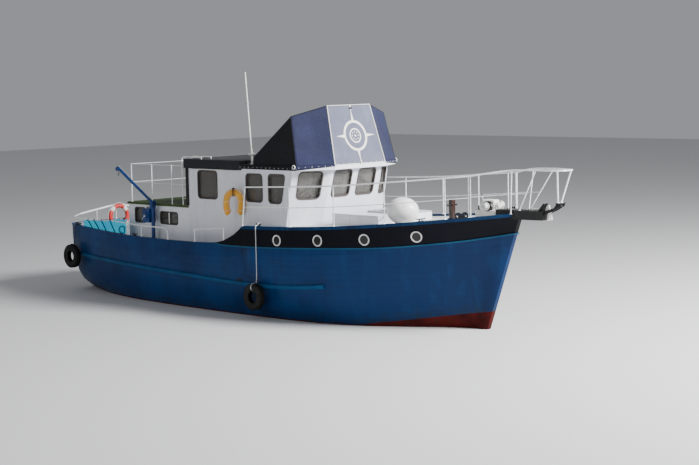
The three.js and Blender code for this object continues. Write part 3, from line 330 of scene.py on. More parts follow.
houseWhite = {
    "gloss": (0.34, 0.5), "patchSize": 0.9, "streakShare": 0.2, "streakSize": 9.0, "worn": (198, 190, 176),
    "wornShare": 0.25, "wornSize": 18.0, "grainSize": 60.0, "grainDepth": 0.0008, "grainStretch": (1, 1, 0.3),
}
wallWhite = {**houseWhite, "colour": (228, 230, 238), "second": (214, 217, 227), "streak": (152, 150, 152)}
finish = {
    "hull": hullFinish(),
    "houseWalls": paintFinish("house_walls_white", **wallWhite, room=(-1.14, 0, 2.9)),
    "helmWalls": paintFinish("wheelhouse_white", **wallWhite, room=(1.0, 0, 2.9)),
    "navy": bandFinish("navy_band", (1, 4, 24), (1, 1, 14), (16, 22, 44), (0.4, 0.54), (206, 210, 216)),
    "moulding": bandFinish("moulding_blue", (34, 82, 112), (24, 70, 100), (80, 124, 150), (0.4, 0.56)),
    "strake": bandFinish("strake_blue", (12, 78, 122), (6, 62, 102), (60, 116, 150), (0.36, 0.5)),
    "capping": bandFinish("capping_blue", (6, 54, 92), (3, 38, 70), (60, 104, 134), (0.4, 0.56)),
    "bottom": paintFinish("antifouling", (104, 40, 38), (72, 32, 32), (0.78, 0.92), 2.0, (58, 62, 44), 0.5,
                          grainSize=120.0, grainDepth=0.0012),
    "white": paintFinish("superstructure_white", (234, 236, 243), (221, 224, 232), streak=(164, 160, 156),
                         **houseWhite),
    "fascia": paintFinish("fascia_navy", (14, 14, 26), (8, 8, 16), (0.4, 0.6), streak=(50, 52, 62),
                          streakShare=0.25, grainSize=70.0),
    "foredeck": deckFinish("foredeck_grey", (206, 207, 204), (186, 188, 187), (120, 120, 116)),
    "aftDeck": deckFinish("after_deck_grey", (150, 156, 158), (128, 134, 138), (70, 70, 68), 0.14),
    "poop": deckFinish("poop_green", (62, 82, 34), (46, 62, 26), (28, 36, 20), 0.6),
    "steel": paintFinish("rail_steel", (246, 247, 247), (228, 230, 231), (0.24, 0.4), 12.0,
                         worn=(160, 132, 106), wornSize=30.0, wornShare=0.3, metal=0.3, grainSize=220.0,
                         grainDepth=0.0002),
    "galvanised": paintFinish("galvanised_steel", (206, 209, 210), (176, 180, 182), (0.42, 0.6), 16.0,
                              worn=(140, 104, 78), wornShare=0.4, metal=0.6, grainSize=180.0,
                              grainDepth=0.0005),
    "whiteMetal": paintFinish("white_metal_paint", (234, 234, 230), (214, 214, 210), (0.32, 0.5), 6.0,
                              worn=(140, 96, 66), wornSize=34.0, wornShare=0.5, grainSize=120.0),
    "black": paintFinish("black_paint", (7, 7, 9), (14, 14, 16), (0.42, 0.62), worn=(48, 44, 40),
                         wornShare=0.4),
    "iron": paintFinish("dark_iron", (22, 22, 25), (38, 35, 33), (0.42, 0.62), worn=(104, 66, 44),
                        wornShare=0.5, metal=0.6, grainSize=110.0),
    "bronze": paintFinish("bronze", (176, 136, 74), (140, 104, 58), (0.26, 0.46), 9.0, worn=(92, 112, 84),
                          wornShare=0.45, metal=0.95, grainSize=140.0, grainDepth=0.0004),
    "engine": paintFinish("engine_green", (74, 96, 80), (58, 76, 64), (0.4, 0.6), grainSize=80.0),
    "derrick": paintFinish("derrick_blue", (6, 60, 122), (2, 46, 98), (0.34, 0.52), 5.0,
                           worn=(128, 84, 56), wornSize=28.0, wornShare=0.55, grainSize=110.0),
    "rubber": paintFinish("tyre_rubber", (10, 10, 11), (22, 21, 20), (0.7, 0.88), 7.0, (58, 56, 52), 0.35,
                          grainSize=160.0, grainDepth=0.0008),
    "gasket": paintFinish("window_rubber", (82, 76, 73), (64, 58, 55), (0.5, 0.7), grainSize=140.0),
    "vinyl": paintFinish("fender_vinyl", (238, 238, 236), (226, 226, 224), (0.3, 0.46), 5.0,
                         (176, 172, 162), 0.3, grainSize=50.0, coat=0.2),
    "orange": paintFinish("lifebuoy_orange", (206, 58, 50), (184, 44, 42), (0.4, 0.58), 6.0,
                          worn=(236, 190, 170), wornShare=0.3),
    "deckGrip": paintFinish("roof_grip", (34, 35, 40), (46, 47, 52), (0.8, 0.95), 3.0, (84, 84, 84), 0.3,
                            grainSize=240.0, grainDepth=0.002),
    # Near-black glass: painted shade of the dark space behind portholes, lamp lenses and the hatch panel
    "shadeGlass": paintFinish("glass_painted_shade", (3, 4, 6), (7, 8, 11), (0.1, 0.18), 7.0,
                                 grainDepth=0.0001),
    "timber": woodFinish("varnished_timber", (58, 29, 21), (28, 14, 11), (0.28, 0.46)),
    "lining": woodFinish("saloon_lining", (150, 98, 56), (92, 54, 28), (0.35, 0.55), 0.12),
    "glass": glassFinish("window_glass", (206, 204, 198)),
    # The cover's pale yellow patches are a painted highlight: the tone of the sunlit limb, laid on in random
    # patches
    "foam": clothFinish("lifebuoy_cover", (232, 170, 52), (206, 134, 32), 240.0, 0.7, 0.15, 0.004,
                        (246, 214, 130)),
    "tape": clothFinish("white_tape", (236, 234, 226), (214, 212, 202), 300.0, 0.75, 0.1, 0.001),
    # The cyans are partly the cloth's own and partly painted light: raised to their brightest to stand for
    # sun shining through the cloth
    "cyan": clothFinish("weather_cloth", (0, 216, 255), (0, 194, 255), 360.0, 0.72, 0.05, 0.012,
                        (84, 234, 255), 0.15),
    # Cover colours are partly the cloths' own and partly painted light: the front is paler and the facets
    # lighter than the navy sides, standing for the sun falling on them
    "canvasSide": clothFinish("canvas_navy", (12, 12, 24), (7, 7, 15), gloss=0.9, sheen=0.08),
    "canvasFacet": clothFinish("canvas_blue", (25, 31, 64), (17, 23, 52), gloss=0.86, sheen=0.1),
    "canvasFront": clothFinish("canvas_front", (98, 102, 120), (86, 90, 110), sheen=0.12,
                               fadeAndHighlight=(118, 121, 136)),
    "ropeWhite": ropeFinish("white_rope", (218, 220, 220), (170, 176, 184)),
    "ropeDark": ropeFinish("dark_rope", (30, 46, 74), (20, 30, 50)),
}
print("materials made")


# Mesh helpers. Each adds a closed shape to a bmesh and gives its faces one finish.
def xyz(x, y, z):
    return Vector((x, y, z))


def moved(x, y, z):
    return Matrix.Translation((x, y, z))


def turnedTo(axis):
    return Vector(axis).to_track_quat("Z", "Y").to_matrix().to_4x4()


def turned(angle, axis):
    return Matrix.Rotation(radians(angle), 4, axis)


def placedAlong(start, end):
    start, end = Vector(start), Vector(end)
    return Matrix.Translation((start + end) / 2) @ turnedTo(end - start), (end - start).length


def rounds(count, start=0.0):
    # Evenly spaced turns in radians, from a first one in degrees
    return [radians(start) + 2 * pi * step / count for step in range(count)]


def onCircle(turn, reach, height=0):
    return xyz(cos(turn) * reach, sin(turn) * reach, height)


def meshOf(name, form):
    mesh = bpy.data.meshes.new(name)
    form.to_mesh(mesh)
    form.free()
    return mesh


def madeVerts(made):
    return [part for part in made if isinstance(part, bmesh.types.BMVert)]


def dress(verts, index):
    faces = {face for vert in verts for face in vert.link_faces}
    for face in faces:
        face.material_index = index
    return faces


def soften(form, faces, edge, segments, sharpest=30):
    edges = {e for face in faces for e in face.edges}
    edges = [e for e in edges if len(e.link_faces) == 2 and e.calc_face_angle(0) > radians(sharpest)]
    bmesh.ops.bevel(form, geom=edges, offset=edge, offset_type="OFFSET", segments=segments, profile=0.5,
                    affect="EDGES", material=-1, clamp_overlap=True)


def addBlock(form, low, high, edge=0.004, index=0, segments=2, matrix=None):
    low, high = Vector(low), Vector(high)
    place = Matrix.Translation((low + high) / 2) @ Matrix.Diagonal((*(high - low), 1))
    made = bmesh.ops.create_cube(form, size=1, matrix=(matrix or Matrix()) @ place)
    faces = dress(made["verts"], index)
    if edge:
        soften(form, faces, edge, segments)


def addBar(form, start, end, radius, index=0, sides=14, tip=None, edge=0.0):
    place, length = placedAlong(start, end)
    made = bmesh.ops.create_cone(form, cap_ends=True, segments=sides, radius1=radius,
                                 radius2=radius if tip is None else tip, depth=length, matrix=place)
    faces = dress(made["verts"], index)
    if edge:
        soften(form, faces, edge, 2, 50)


def addBall(form, centre, radius, index=0, around=16, across=10, stretch=(1, 1, 1)):
    place = Matrix.Translation(centre) @ Matrix.Diagonal((*stretch, 1))
    made = bmesh.ops.create_uvsphere(form, u_segments=around, v_segments=across, radius=radius, matrix=place)
    dress(made["verts"], index)


def addRing(form, centre, axis, radius, thickness, index=0, around=40, across=12):
    # A torus about an axis
    place = Matrix.Translation(centre) @ turnedTo(axis)
    start = moved(radius, 0, 0) @ turned(90, "X")
    made = bmesh.ops.create_circle(form, cap_ends=False, segments=across, radius=thickness, matrix=start)
    geom = made["verts"] + list({e for v in made["verts"] for e in v.link_edges})
    geom += list({f for v in made["verts"] for f in v.link_faces})
    spun = bmesh.ops.spin(form, geom=geom, cent=(0, 0, 0), axis=(0, 0, 1), angle=2 * pi, steps=around,
                          use_merge=True, use_duplicate=False)
    verts = islandOf(set(made["verts"]) | set(madeVerts(spun["geom_last"])))
    bmesh.ops.transform(form, matrix=place, verts=list(verts))
    dress(verts, index)
    return verts


def islandOf(verts):
    found, waiting = set(), [v for v in verts if v.is_valid]
    while waiting:
        vert = waiting.pop()
        if vert in found:
            continue
        found.add(vert)
        waiting.extend(e.other_vert(vert) for e in vert.link_edges)
    return found


def addTurned(form, outline, matrix=None, index=0, steps=32):
    # A shape turned about Z from (radius, height) points
    points = [form.verts.new((radius, 0, height)) for radius, height in outline]
    edges = [form.edges.new(pair) for pair in zip(points, points[1:])]
    bmesh.ops.spin(form, geom=points + edges, cent=(0, 0, 0), axis=(0, 0, 1), angle=2 * pi, steps=steps,
                   use_merge=True, use_duplicate=False)
    verts = islandOf([v for v in points if v.is_valid])
    bmesh.ops.remove_doubles(form, verts=list(verts), dist=1e-6)
    verts = [v for v in verts if v.is_valid]
    dress(verts, index)
    bmesh.ops.transform(form, matrix=matrix or Matrix(), verts=verts)


def curved(points, per=6, closed=False):
    # A smooth line through the points
    points = [Vector(p) for p in points]
    count = len(points)

    def at(i):
        return points[i % count] if closed else points[max(0, min(count - 1, i))]

    route = []
    for i in range(count if closed else count - 1):
        a, b, c, d = at(i - 1), at(i), at(i + 1), at(i + 2)
        for step in range(per):
            t = step / per
            route.append(0.5 * (2 * b + (c - a) * t + (2 * a - 5 * b + 4 * c - d) * t * t
                                + (3 * b - a - 3 * c + d) * t ** 3))
    return route if closed else route + [points[-1]]


def addPipe(form, points, radius, index=0, closed=False, smoothness=3, swell=None):
    # A round tube on a line of points; swell gives each point's share of the radius
    data = bpy.data.curves.new("route", "CURVE")
    data.dimensions = "3D"
    data.bevel_depth, data.bevel_resolution, data.use_fill_caps = radius, smoothness, True
    line = data.splines.new("POLY")
    line.points.add(len(points) - 1)
    for step, (made, point) in enumerate(zip(line.points, points)):
        made.co = (*point, 1)
        made.radius = swell[step] if swell else 1
    line.use_cyclic_u = closed
    carrier = bpy.data.objects.new("route", data)
    mesh = bpy.data.meshes.new_from_object(carrier)
    for face in mesh.polygons:
        face.material_index = index
    form.from_mesh(mesh)
    bpy.data.objects.remove(carrier)
    bpy.data.curves.remove(data)
    bpy.data.meshes.remove(mesh)


def addPlate(form, outline, depth, matrix, index=0, edge=0.0, segments=2):
    # A flat outline in X and Y, raised along Z
    face = form.faces.new([form.verts.new((x, y, 0)) for x, y in outline])
    made = bmesh.ops.extrude_face_region(form, geom=[face])
    raised = madeVerts(made["geom"])
    bmesh.ops.translate(form, verts=raised, vec=(0, 0, depth))
    verts = islandOf(raised)
    faces = dress(verts, index)
    bmesh.ops.transform(form, matrix=matrix, verts=list(verts))
    bmesh.ops.recalc_face_normals(form, faces=list(faces))
    if edge:
        soften(form, faces, edge, segments)


def basis(origin, across, up):
    across, up = Vector(across).normalized(), Vector(up).normalized()
    out = across.cross(up).normalized()
    return Matrix.Translation(origin) @ Matrix((across, out.cross(across), out)).transposed().to_4x4()


def grown(corners, by):
    # The corners of a flat outline, moved out from its edges
    found = []
    for i, corner in enumerate(corners):
        before = (corner - corners[i - 1]).normalized()
        after = (corner - corners[(i + 1) % len(corners)]).normalized()
        found.append(corner + (before + after) * by / before.cross(after).length)
    return found


def addLoose(form, loose, index):
    # Takes a finished small bmesh into a larger one
    bmesh.ops.recalc_face_normals(loose, faces=loose.faces)
    for face in loose.faces:
        face.material_index = index
    mesh = meshOf("loose", loose)
    form.from_mesh(mesh)
    bpy.data.meshes.remove(mesh)


def roundedFace(loose, corners, radius):
    loose.faces.new([loose.verts.new(corner) for corner in corners])
    bmesh.ops.bevel(loose, geom=list(loose.verts), offset=radius, offset_type="OFFSET", segments=6,
                    profile=0.5, affect="VERTICES", material=-1)
    return max(loose.faces, key=lambda face: face.calc_area())


def addSurround(form, corners, outward, wide, lip, front, back, radius, index=0, edge=0.0, wall=None):
    # A rounded ring round an opening, from its front face to its back one along the outward direction.
    # Where a wall is named, the ring follows its twist.
    corners, outward = [Vector(c) for c in corners], Vector(outward).normalized()
    loose = bmesh.new()
    face = roundedFace(loose, [c + outward * front for c in grown(corners, wide)], radius + wide)
    loose.normal_update()
    inset = bmesh.ops.inset_individual(loose, faces=[face], thickness=wide + lip, use_even_offset=True)
    ring = inset["faces"]
    bmesh.ops.delete(loose, geom=[f for f in loose.faces if f not in ring], context="FACES_ONLY")
    pushed = bmesh.ops.extrude_face_region(loose, geom=ring)
    bmesh.ops.translate(loose, verts=madeVerts(pushed["geom"]), vec=outward * (back - front))
    bmesh.ops.recalc_face_normals(loose, faces=loose.faces)
    if edge:
        soften(loose, list(loose.faces), edge, 2, 60)
    if wall:
        bmesh.ops.subdivide_edges(loose, edges=[e for e in loose.edges if e.calc_length() > 0.12], cuts=6)
        for vert in loose.verts:
            base = vert.co - outward * (vert.co - corners[0]).dot(outward)
            near = skinOf(wall).find_nearest(base + outward * 0.06)[0]
            vert.co += outward * (near - base).dot(outward)
    addLoose(form, loose, index)


def settle(name, form, finishes, body=vessel, stands=(), smooth=40, merge=1e-5):
    # Closes the mesh, turns its faces outwards and gives the piece its finishes and body
    bmesh.ops.remove_doubles(form, verts=form.verts, dist=merge)
    bmesh.ops.recalc_face_normals(form, faces=form.faces)
    return settleMesh(name, meshOf(name, form), finishes, body, stands, smooth)


def settleMesh(name, mesh, finishes, body=vessel, stands=(), smooth=40):
    for key in finishes:
        mesh.materials.append(finish[key])
    mesh.shade_smooth()
    mesh.set_sharp_from_angle(angle=radians(smooth))
    piece = placed(name, mesh)
    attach(piece, body)
    if stands:
        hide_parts(*stands)
    return piece


def smoothCopy(node, name, key, angle=22, body=vessel):
    # A merged copy of a node without its level cuts, shaded smooth where its form is round
    form = bmesh.new()
    form.from_mesh(nodes[node].data)
    bmesh.ops.remove_doubles(form, verts=form.verts, dist=2e-5)
    bmesh.ops.dissolve_degenerate(form, edges=form.edges, dist=1e-4)
    bmesh.ops.dissolve_limit(form, angle_limit=radians(0.6), verts=form.verts, edges=form.edges)
    for face in form.faces:
        face.material_index = 0
    mesh = meshOf(name, form)
    mesh.materials.clear()
    piece = settleMesh(name, mesh, [key], body, [node], angle)
    piece.modifiers.new("even", "WEIGHTED_NORMAL").keep_sharp = True
    return piece


# Nodes that stay as they are and take a finish
dressed = {
    "keel": "bottom", "engine": "engine", "rudder": "bottom", "aft_deck": "aftDeck", "foredeck": "foredeck",
    "aft_cabin": "white", "aft_cabin_glass": "glass", "poop_deck": "poop", "house_walls": "houseWalls",
    "house_glass_starboard": "glass", "house_glass_port": "glass", "house_roof": "fascia",
    "companion_door": "timber", "wheelhouse_walls": "helmWalls", "wheelhouse_glass": "glass",
    "wheelhouse_roof": "white", "helm_console": "lining", "coachroof": "white", "hatch_lid": "foredeck",
    "bow_platform": "black", "deck_steps_starboard": "white", "deck_steps_port": "white",
}
for node, key in dressed.items():
    nodes[node].data.materials.clear()
    nodes[node].data.materials.append(finish[key])

# The hull's planked pieces, smooth along their curves
for node, key, slot in (
    ("hull", "hull", "hull_blue"), ("aft_bulwark", "hull", "hull_blue"),
    ("raised_topside", "navy", "navy_paint"), ("foredeck_capping", "capping", "capping_blue"),
    ("bulwark_capping", "hull", "hull_blue"), ("band_moulding", "moulding", "capping_blue"),
    ("strake_starboard", "strake", "capping_blue"), ("strake_port", "strake", "capping_blue"),
):
    smoothCopy(node, node + "_planked", key)
print("hull dressed")

# Where rays meet the nodes
skins = {}


def skinOf(node):
    if node not in skins:
        mesh = nodes[node].data
        skins[node] = BVHTree.FromPolygons([v.co for v in mesh.vertices], [p.vertices for p in mesh.polygons])
    return skins[node]


def onSkin(node, start, toward):
    # Where a line from start towards a direction meets a node, and which way the skin faces there
    place, normal, _, _ = skinOf(node).ray_cast(Vector(start), Vector(toward).normalized())
    if place is None:
        raise ValueError("no skin of " + node + " at " + str(tuple(start)))
    return place, normal


def topOf(node, x, y):
    return onSkin(node, (x, y, 4), (0, 0, -1))[0].z


def outsidePlace(node, x, z, sign):
    # A frame on the ship's side: X along it, Y up it, Z outward
    place, out = onSkin(node, (x, sign * 4, z), (0, -sign, 0))
    across = xyz(out.y, -out.x, 0).normalized()
    return basis(place, across, out.cross(across))


# Portholes in the navy band: a white ring, bolts, and glass painted near black as painted shade of the dark
# space behind it
portholes = {
    "places": ((1.76, 2.00), (3.1, 2.065), (4.43, 2.145), (5.69, 2.25)), "radius": 0.114, "ring": 0.026,
    "bolts": 6, "bolt": 0.006,
}


def makePortholes():
    form = bmesh.new()
    size = portholes["radius"]
    wide = size + portholes["ring"]
    rim = [(size - 0.006, 0.0), (size - 0.004, 0.014), (size + 0.006, 0.022), (wide - 0.01, 0.022),
           (wide - 0.001, 0.013), (wide, -0.012), (size - 0.006, -0.012), (size - 0.006, 0.0)]
    glass = [(0, 0.004), (size * 0.6, 0.0055), (size - 0.004, 0.004), (size - 0.004, -0.008), (0, -0.008)]
    for x, z in portholes["places"]:
        for sign in (-1, 1):
            matrix = outsidePlace("raised_topside", x, z, sign)
            addTurned(form, rim, matrix, 0, 36)
            addTurned(form, glass, matrix, 1)
            for turn in rounds(portholes["bolts"], 30):
                addBall(form, matrix @ onCircle(turn, size + 0.015, 0.021), portholes["bolt"], 2, 8, 5)
    settle("porthole_set", form, ["whiteMetal", "shadeGlass", "galvanised"])


makePortholes()
print("portholes made")


# Windows: dark rubber surrounds with round corners that go back to the glass
windows = {
    "wide": 0.03, "lip": 0.005, "proud": 0.014, "deep": 0.049, "corner": 0.085, "edge": 0.005,
    "half": 1.72, "cabinHalf": 1.7, "bar": 0.022, "barRise": 0.15,
}
wheelhouseShape = {
    "footZ": 2.2, "topZ": 3.7, "corner": (1.59, 1.865, 1.72), "front": (1.985, 2.395, 0.87),
}


def cornerAt(kind, z):
    footX, topX, half = wheelhouseShape[kind]
    share = (z - wheelhouseShape["footZ"]) / (wheelhouseShape["topZ"] - wheelhouseShape["footZ"])
    return xyz(footX + share * (topX - footX), half, z)


def frontPlace(y, z):
    return xyz(cornerAt("front", z).x, y, z)


def facetPlace(share, z, sign):
    place = cornerAt("corner", z).lerp(cornerAt("front", z), share)
    return xyz(place.x, place.y * sign, z)


def sideWindow(x0, x1, z0, z1, half, rake=0.0):
    return [(x0, half, z0), (x1, half, z0), (x1 + rake, half, z1), (x0, half, z1)]


def leaning(corners):
    # A forward-facing opening with its outward direction
    out = (corners[1] - corners[0]).cross(corners[3] - corners[0]).normalized()
    return corners, out if out.x > 0 else -out


def windowOutlines():
    # Corners and outward direction of every opening
    found = {}
    for sign, side in sides:
        out = xyz(0, sign, 0)
        half, cabinHalf = sign * windows["half"], sign * windows["cabinHalf"]
        found["after_" + side] = (sideWindow(-1.76, -1.01, 2.89, 3.59, half), out)
        found["side_" + side] = (sideWindow(0.15, 0.74, 2.88, 3.56, half), out)
        found["corner_" + side] = (sideWindow(1.0, 1.44, 2.87, 3.57, half, 0.15), out)
        found["facet_" + side] = leaning([facetPlace(share, z, sign) for share, z in (
            (0.2, 2.99), (0.78, 2.99), (0.78, 3.64), (0.2, 3.64))])
        found["front_" + side] = leaning([frontPlace(sign * y, z) for y, z in (
            (0.13, 3.01), (0.73, 3.01), (0.73, 3.65), (0.13, 3.65))])
        found["cabin_fore_" + side] = (sideWindow(-3.41, -2.7, 2.13, 2.43, cabinHalf), out)
        found["cabin_aft_" + side] = (sideWindow(-4.52, -4.09, 2.12, 2.5, cabinHalf), out)
    return found


def makeWindows():
    form = bmesh.new()
    w = windows
    for name, (corners, out) in windowOutlines().items():
        small = name.startswith("cabin")
        wall = "wheelhouse_walls" if name.startswith(("facet", "front")) else None
        radius = w["corner"] * (0.6 if small else 1)
        addSurround(form, corners, out, w["wide"], w["lip"], w["proud"], -0.003, radius, 0, w["edge"], wall)
        addSurround(form, corners, out, -0.002, w["lip"], 0.0, -w["deep"], radius, 0, 0.0, wall)
        if name.startswith("cabin_fore"):
            middle = sum((Vector(c) for c in corners), Vector()) / 4
            reach = xyz(w["bar"], 0, w["barRise"])
            addBlock(form, middle - reach - out * 0.012, middle + reach + out * 0.002, 0.004, 1)
    settle("window_rubbers", form, ["gasket", "whiteMetal"])


makeWindows()
print("windows made")

# The canvas cover over the upper steering place, one sheet of sagging panels over a frame
canvas = {
    "base": 3.802, "aft": (0.5, 1.78), "aftTop": (0.5, 1.765, 4.005), "corner": (2.075, 1.78),
    "front": (2.545, 0.895), "cornerTop": (1.79, 1.66, 5.034), "frontTop": (2.15, 0.755, 5.275),
    "skirtHalf": 1.812, "skirtFoot": 3.702, "skirtAft": -0.015, "skirtFore": 2.088, "sag": 0.035,
    "thick": 0.004, "rows": 26, "sideColumns": 34, "facetColumns": 16, "frontColumns": 28,
    "piping": 0.012, "hem": 0.009, "studGap": 0.16,
}


def canvasCorner(key, sign=-1, height=None):
    values = canvas[key]
    z = values[2] if len(values) > 2 else canvas["base"]
    return xyz(values[0], sign * values[1], z if height is None else height)


def puckered(u, v, place, sag):
    # How far a point of a panel hangs in from its flat place: a slow sag, and tension folds from the corners
    belly = sin(pi * u) * sin(pi * v)
    folds = noise.noise(place * 2.1) * 0.6 + noise.noise(place * 5.3) * 0.25
    drag = sin(14 * u + 9 * v) * max(0.0, 1 - 3 * v) * 0.3
    return sag * belly * (1 + 0.5 * folds + drag) + 0.01 * folds * belly ** 0.5


def panelPoint(corners, u, v, sag, lift=0.0):
    # Corners run lower left, lower right, upper right, upper left, seen from outside
    a, b, c, d = corners
    out = (b - a).cross(d - a).normalized()
    spot = a.lerp(b, u).lerp(d.lerp(c, u), v)
    return spot + out * (lift - puckered(u, v, spot, sag))


def addGrid(form, columns, rows, index, wide, high):
    # A flat net of faces with its map in metres; gives each vertex's place on it, from 0 to 1 both ways
    made = bmesh.ops.create_grid(form, x_segments=columns, y_segments=rows, size=0.5, calc_uvs=False)
    flat = form.loops.layers.uv.verify()
    place = {vert: (vert.co.x + 0.5, vert.co.y + 0.5) for vert in made["verts"]}
    for face in dress(made["verts"], index):
        for loop in face.loops:
            u, v = place[loop.vert]
            loop[flat].uv = (u * wide, v * high)
    return place


def addPanel(form, corners, columns, rows, index, sag):
    a, b, _, d = corners
    place = addGrid(form, columns, rows, index, (b - a).length, (d - a).length)
    for vert, (u, v) in place.items():
        vert.co = panelPoint(corners, u, v, sag)
    return place


def frontCorners():
    return [canvasCorner("front", -1), canvasCorner("front", 1), canvasCorner("frontTop", 1),
            canvasCorner("frontTop", -1)]


def visorFlap(sign):
    # The facet's hem laps over the visor, deepest at the side
    c = canvas
    side, fore = sign * c["skirtHalf"], c["skirtFore"]
    return [xyz(fore, side, c["skirtFoot"] + 0.01), xyz(2.5665, sign * 0.909, 3.79),
            xyz(2.558, sign * 0.905, c["base"] + 0.013), xyz(fore, side, c["base"] + 0.013)]


def makeCanvas(trimmings):
    form = bmesh.new()
    c = canvas
    for sign in (-1, 1):
        foot, edge, top = (canvasCorner(key, sign) for key in ("aft", "corner", "cornerTop"))
        side = [foot, edge, top, canvasCorner("aftTop", sign)]
        facet = [edge, canvasCorner("front", sign), canvasCorner("frontTop", sign), top]
        outer, inner = sign * c["skirtHalf"], sign * c["corner"][1]
        low, high, ends = c["skirtFoot"], c["base"], (c["skirtAft"], c["skirtFore"])
        drop = [xyz(ends[0], outer, low), xyz(ends[1], outer, low), xyz(ends[1], outer, high),
                xyz(ends[0], outer, high)]
        turn = [drop[3], drop[2], xyz(ends[1], inner, high + 0.003), xyz(ends[0], inner, high + 0.003)]
        panels = [(side, c["sideColumns"], c["rows"], 0, c["sag"]),
                  (facet, c["facetColumns"], c["rows"], 1, c["sag"]),
                  (drop, c["sideColumns"], 3, 0, 0.002), (turn, c["sideColumns"], 1, 0, 0.0)]
        visor = visorFlap(sign)
        fold = [visor[3], visor[2], canvasCorner("front", sign, c["base"] + 0.012),
                canvasCorner("corner", sign, c["base"] + 0.012)]
        panels += [(visor, c["facetColumns"], 3, 1, 0.0), (fold, c["facetColumns"], 1, 1, 0.0)]
        for corners, columns, rows, index, sag in panels:
            if sign > 0:
                corners = [corners[1], corners[0], corners[3], corners[2]]
            addPanel(form, corners, columns, rows, index, sag)
    addPanel(form, frontCorners(), c["frontColumns"], c["rows"], 2, c["sag"] * 0.7)
    # The top, from the aft edge up to the heads of the facets and the front
    heads = [canvasCorner("cornerTop", 1), canvasCorner("frontTop", 1), canvasCorner("frontTop", -1),
             canvasCorner("cornerTop", -1)]
    counts = [c["facetColumns"], c["frontColumns"], c["facetColumns"]]
    total = sum(counts)
    ends = [canvasCorner("aftTop", 1), canvasCorner("aftTop", -1)]
    place = addPanel(form, [ends[0], ends[1], heads[3], heads[0]], total, c["sideColumns"], 0, 0.0)
    slope = (heads[0] - ends[0]).cross(ends[1] - ends[0]).normalized()
    slope *= 1 if slope.z > 0 else -1
    for vert, (u, v) in place.items():
        column, span, start = u * total, 0, 0
        while span < 2 and column > start + counts[span] + 1e-6:
            start += counts[span]
            span += 1
        head = heads[span].lerp(heads[span + 1], (column - start) / counts[span])
        spot = ends[0].lerp(ends[1], u).lerp(head, v)
        ribs = 1 - 0.75 * exp(-((v - 0.52) / 0.05) ** 2)
        vert.co = spot - slope * puckered(u, v, spot, c["sag"] * 1.6) * ribs
    # The aft end, from the top's edge down to the roof
    addPanel(form, [canvasCorner("aft", 1), canvasCorner("aft", -1), ends[1], ends[0]], total, 4, 0, 0.004)
    # An apron lies on the roof between the skirts, back to the after house
    apron = [(c["skirtAft"], -c["corner"][1]), (c["aft"][0], -c["aft"][1]), (c["aft"][0], c["aft"][1]),
             (c["skirtAft"], c["corner"][1])]
    addPanel(form, [xyz(x, y, c["base"] + 0.003) for x, y in apron], 8, 24, 0, 0.0)
    bmesh.ops.remove_doubles(form, verts=form.verts, dist=0.002)
    bmesh.ops.recalc_face_normals(form, faces=form.faces)
    cloths = ["canvasSide", "canvasFacet", "canvasFront"]
    cover = settleMesh("canvas_cover", meshOf("canvas_cover", form), cloths, vessel,
                       ["flybridge_cover"], 180)
    wall = cover.modifiers.new("wall", "SOLIDIFY")
    wall.thickness, wall.offset = c["thick"], -1


# White piping, dark hems, studs and the webbing that holds the front panel
def makeCanvasTrim():
    form = bmesh.new()
    c = canvas
    front = frontCorners()
    for side in (0, 1):
        route = [panelPoint(front, side, step / 20, 0, 0.006) for step in range(21)]
        addPipe(form, route, c["piping"])
    for sign in (-1, 1):
        flap = visorFlap(sign)
        edge, head, brow = (canvasCorner(key, sign) for key in ("corner", "cornerTop", "frontTop"))
        skirt = [xyz(x, sign * (c["skirtHalf"] + 0.002), c["skirtFoot"] + 0.008)
                 for x in (c["skirtAft"], c["skirtFore"])]
        for hem in (flap[:2], [edge, head], [head, brow], skirt):
            addPipe(form, hem, c["hem"] * 0.8, 1)
        count = int((c["skirtFore"] - c["skirtAft"]) / c["studGap"])
        for step in range(count + 1):
            x = c["skirtAft"] + 0.05 + step * c["studGap"]
            spot = (x, sign * (c["skirtHalf"] + 0.003), c["skirtFoot"] + 0.045)
            addBall(form, spot, 0.009, 2, 10, 6, (1, 0.5, 1))
        for step in range(6):
            u = (step + 0.5) / 6
            addBall(form, flap[0].lerp(flap[1], u).lerp(flap[3].lerp(flap[2], u), 0.55), 0.009, 2, 10, 6)
    for step in range(9):
        spot = panelPoint(front, (step + 0.5) / 9, 0.022, c["sag"] * 0.7, 0.004)
        addBall(form, spot, 0.011, 2, 10, 6, (0.5, 1, 1))
    addPipe(form, [corner + xyz(0.002, 0, c["hem"]) for corner in front[:2]], c["hem"])
    addPipe(form, [front[3], front[2]], c["hem"] * 0.8)
    # Webbing over the head with its dark buckle, and below to a stud on the visor
    for low, high in ((0.905, 1.0), (0.0, 0.07)):
        strap = [panelPoint(front, 0.53, low + (high - low) * step / 6, c["sag"] * 0.7, 0.006)
                 for step in range(7)]
        for a, b in zip(strap, strap[1:]):
            place = basis((a + b) / 2, (0, 1, 0), b - a)
            half = (b - a).length / 2 + 0.001
            addBlock(form, (-0.016, -half, -0.0015), (0.016, half, 0.0015), 0, 0, 1, place)
    spot = panelPoint(front, 0.53, 0.945, c["sag"] * 0.7, 0.012)
    tilt = basis(spot, (0, 1, 0), front[3] - front[0])
    addBlock(form, (-0.04, -0.026, -0.006), (0.04, 0.026, 0.007), 0.005, 3, 3, tilt)
    addBlock(form, (-0.046, -0.01, 0.0), (0.046, 0.008, 0.012), 0.003, 3, 2, tilt)
    addBar(form, (2.545, 0.0, 3.803), (2.549, 0.0, 3.835), 0.022, 3, 20, 0.014, 0.003)
    boxMapped(form)
    return settle("canvas_trimming", form, ["tape", "canvasSide", "steel", "black"])


# A compass rose of plain rings and points, sewn on the front panel
rose = {"across": 0.53, "up": 0.48, "ring": (0.335, 0.4), "inner": (0.158, 0.192), "thick": 0.0035,
        "north": 0.66, "east": 0.68, "waist": 0.042, "dots": 8, "dotRing": 0.104, "dot": 0.017, "hub": 0.03}


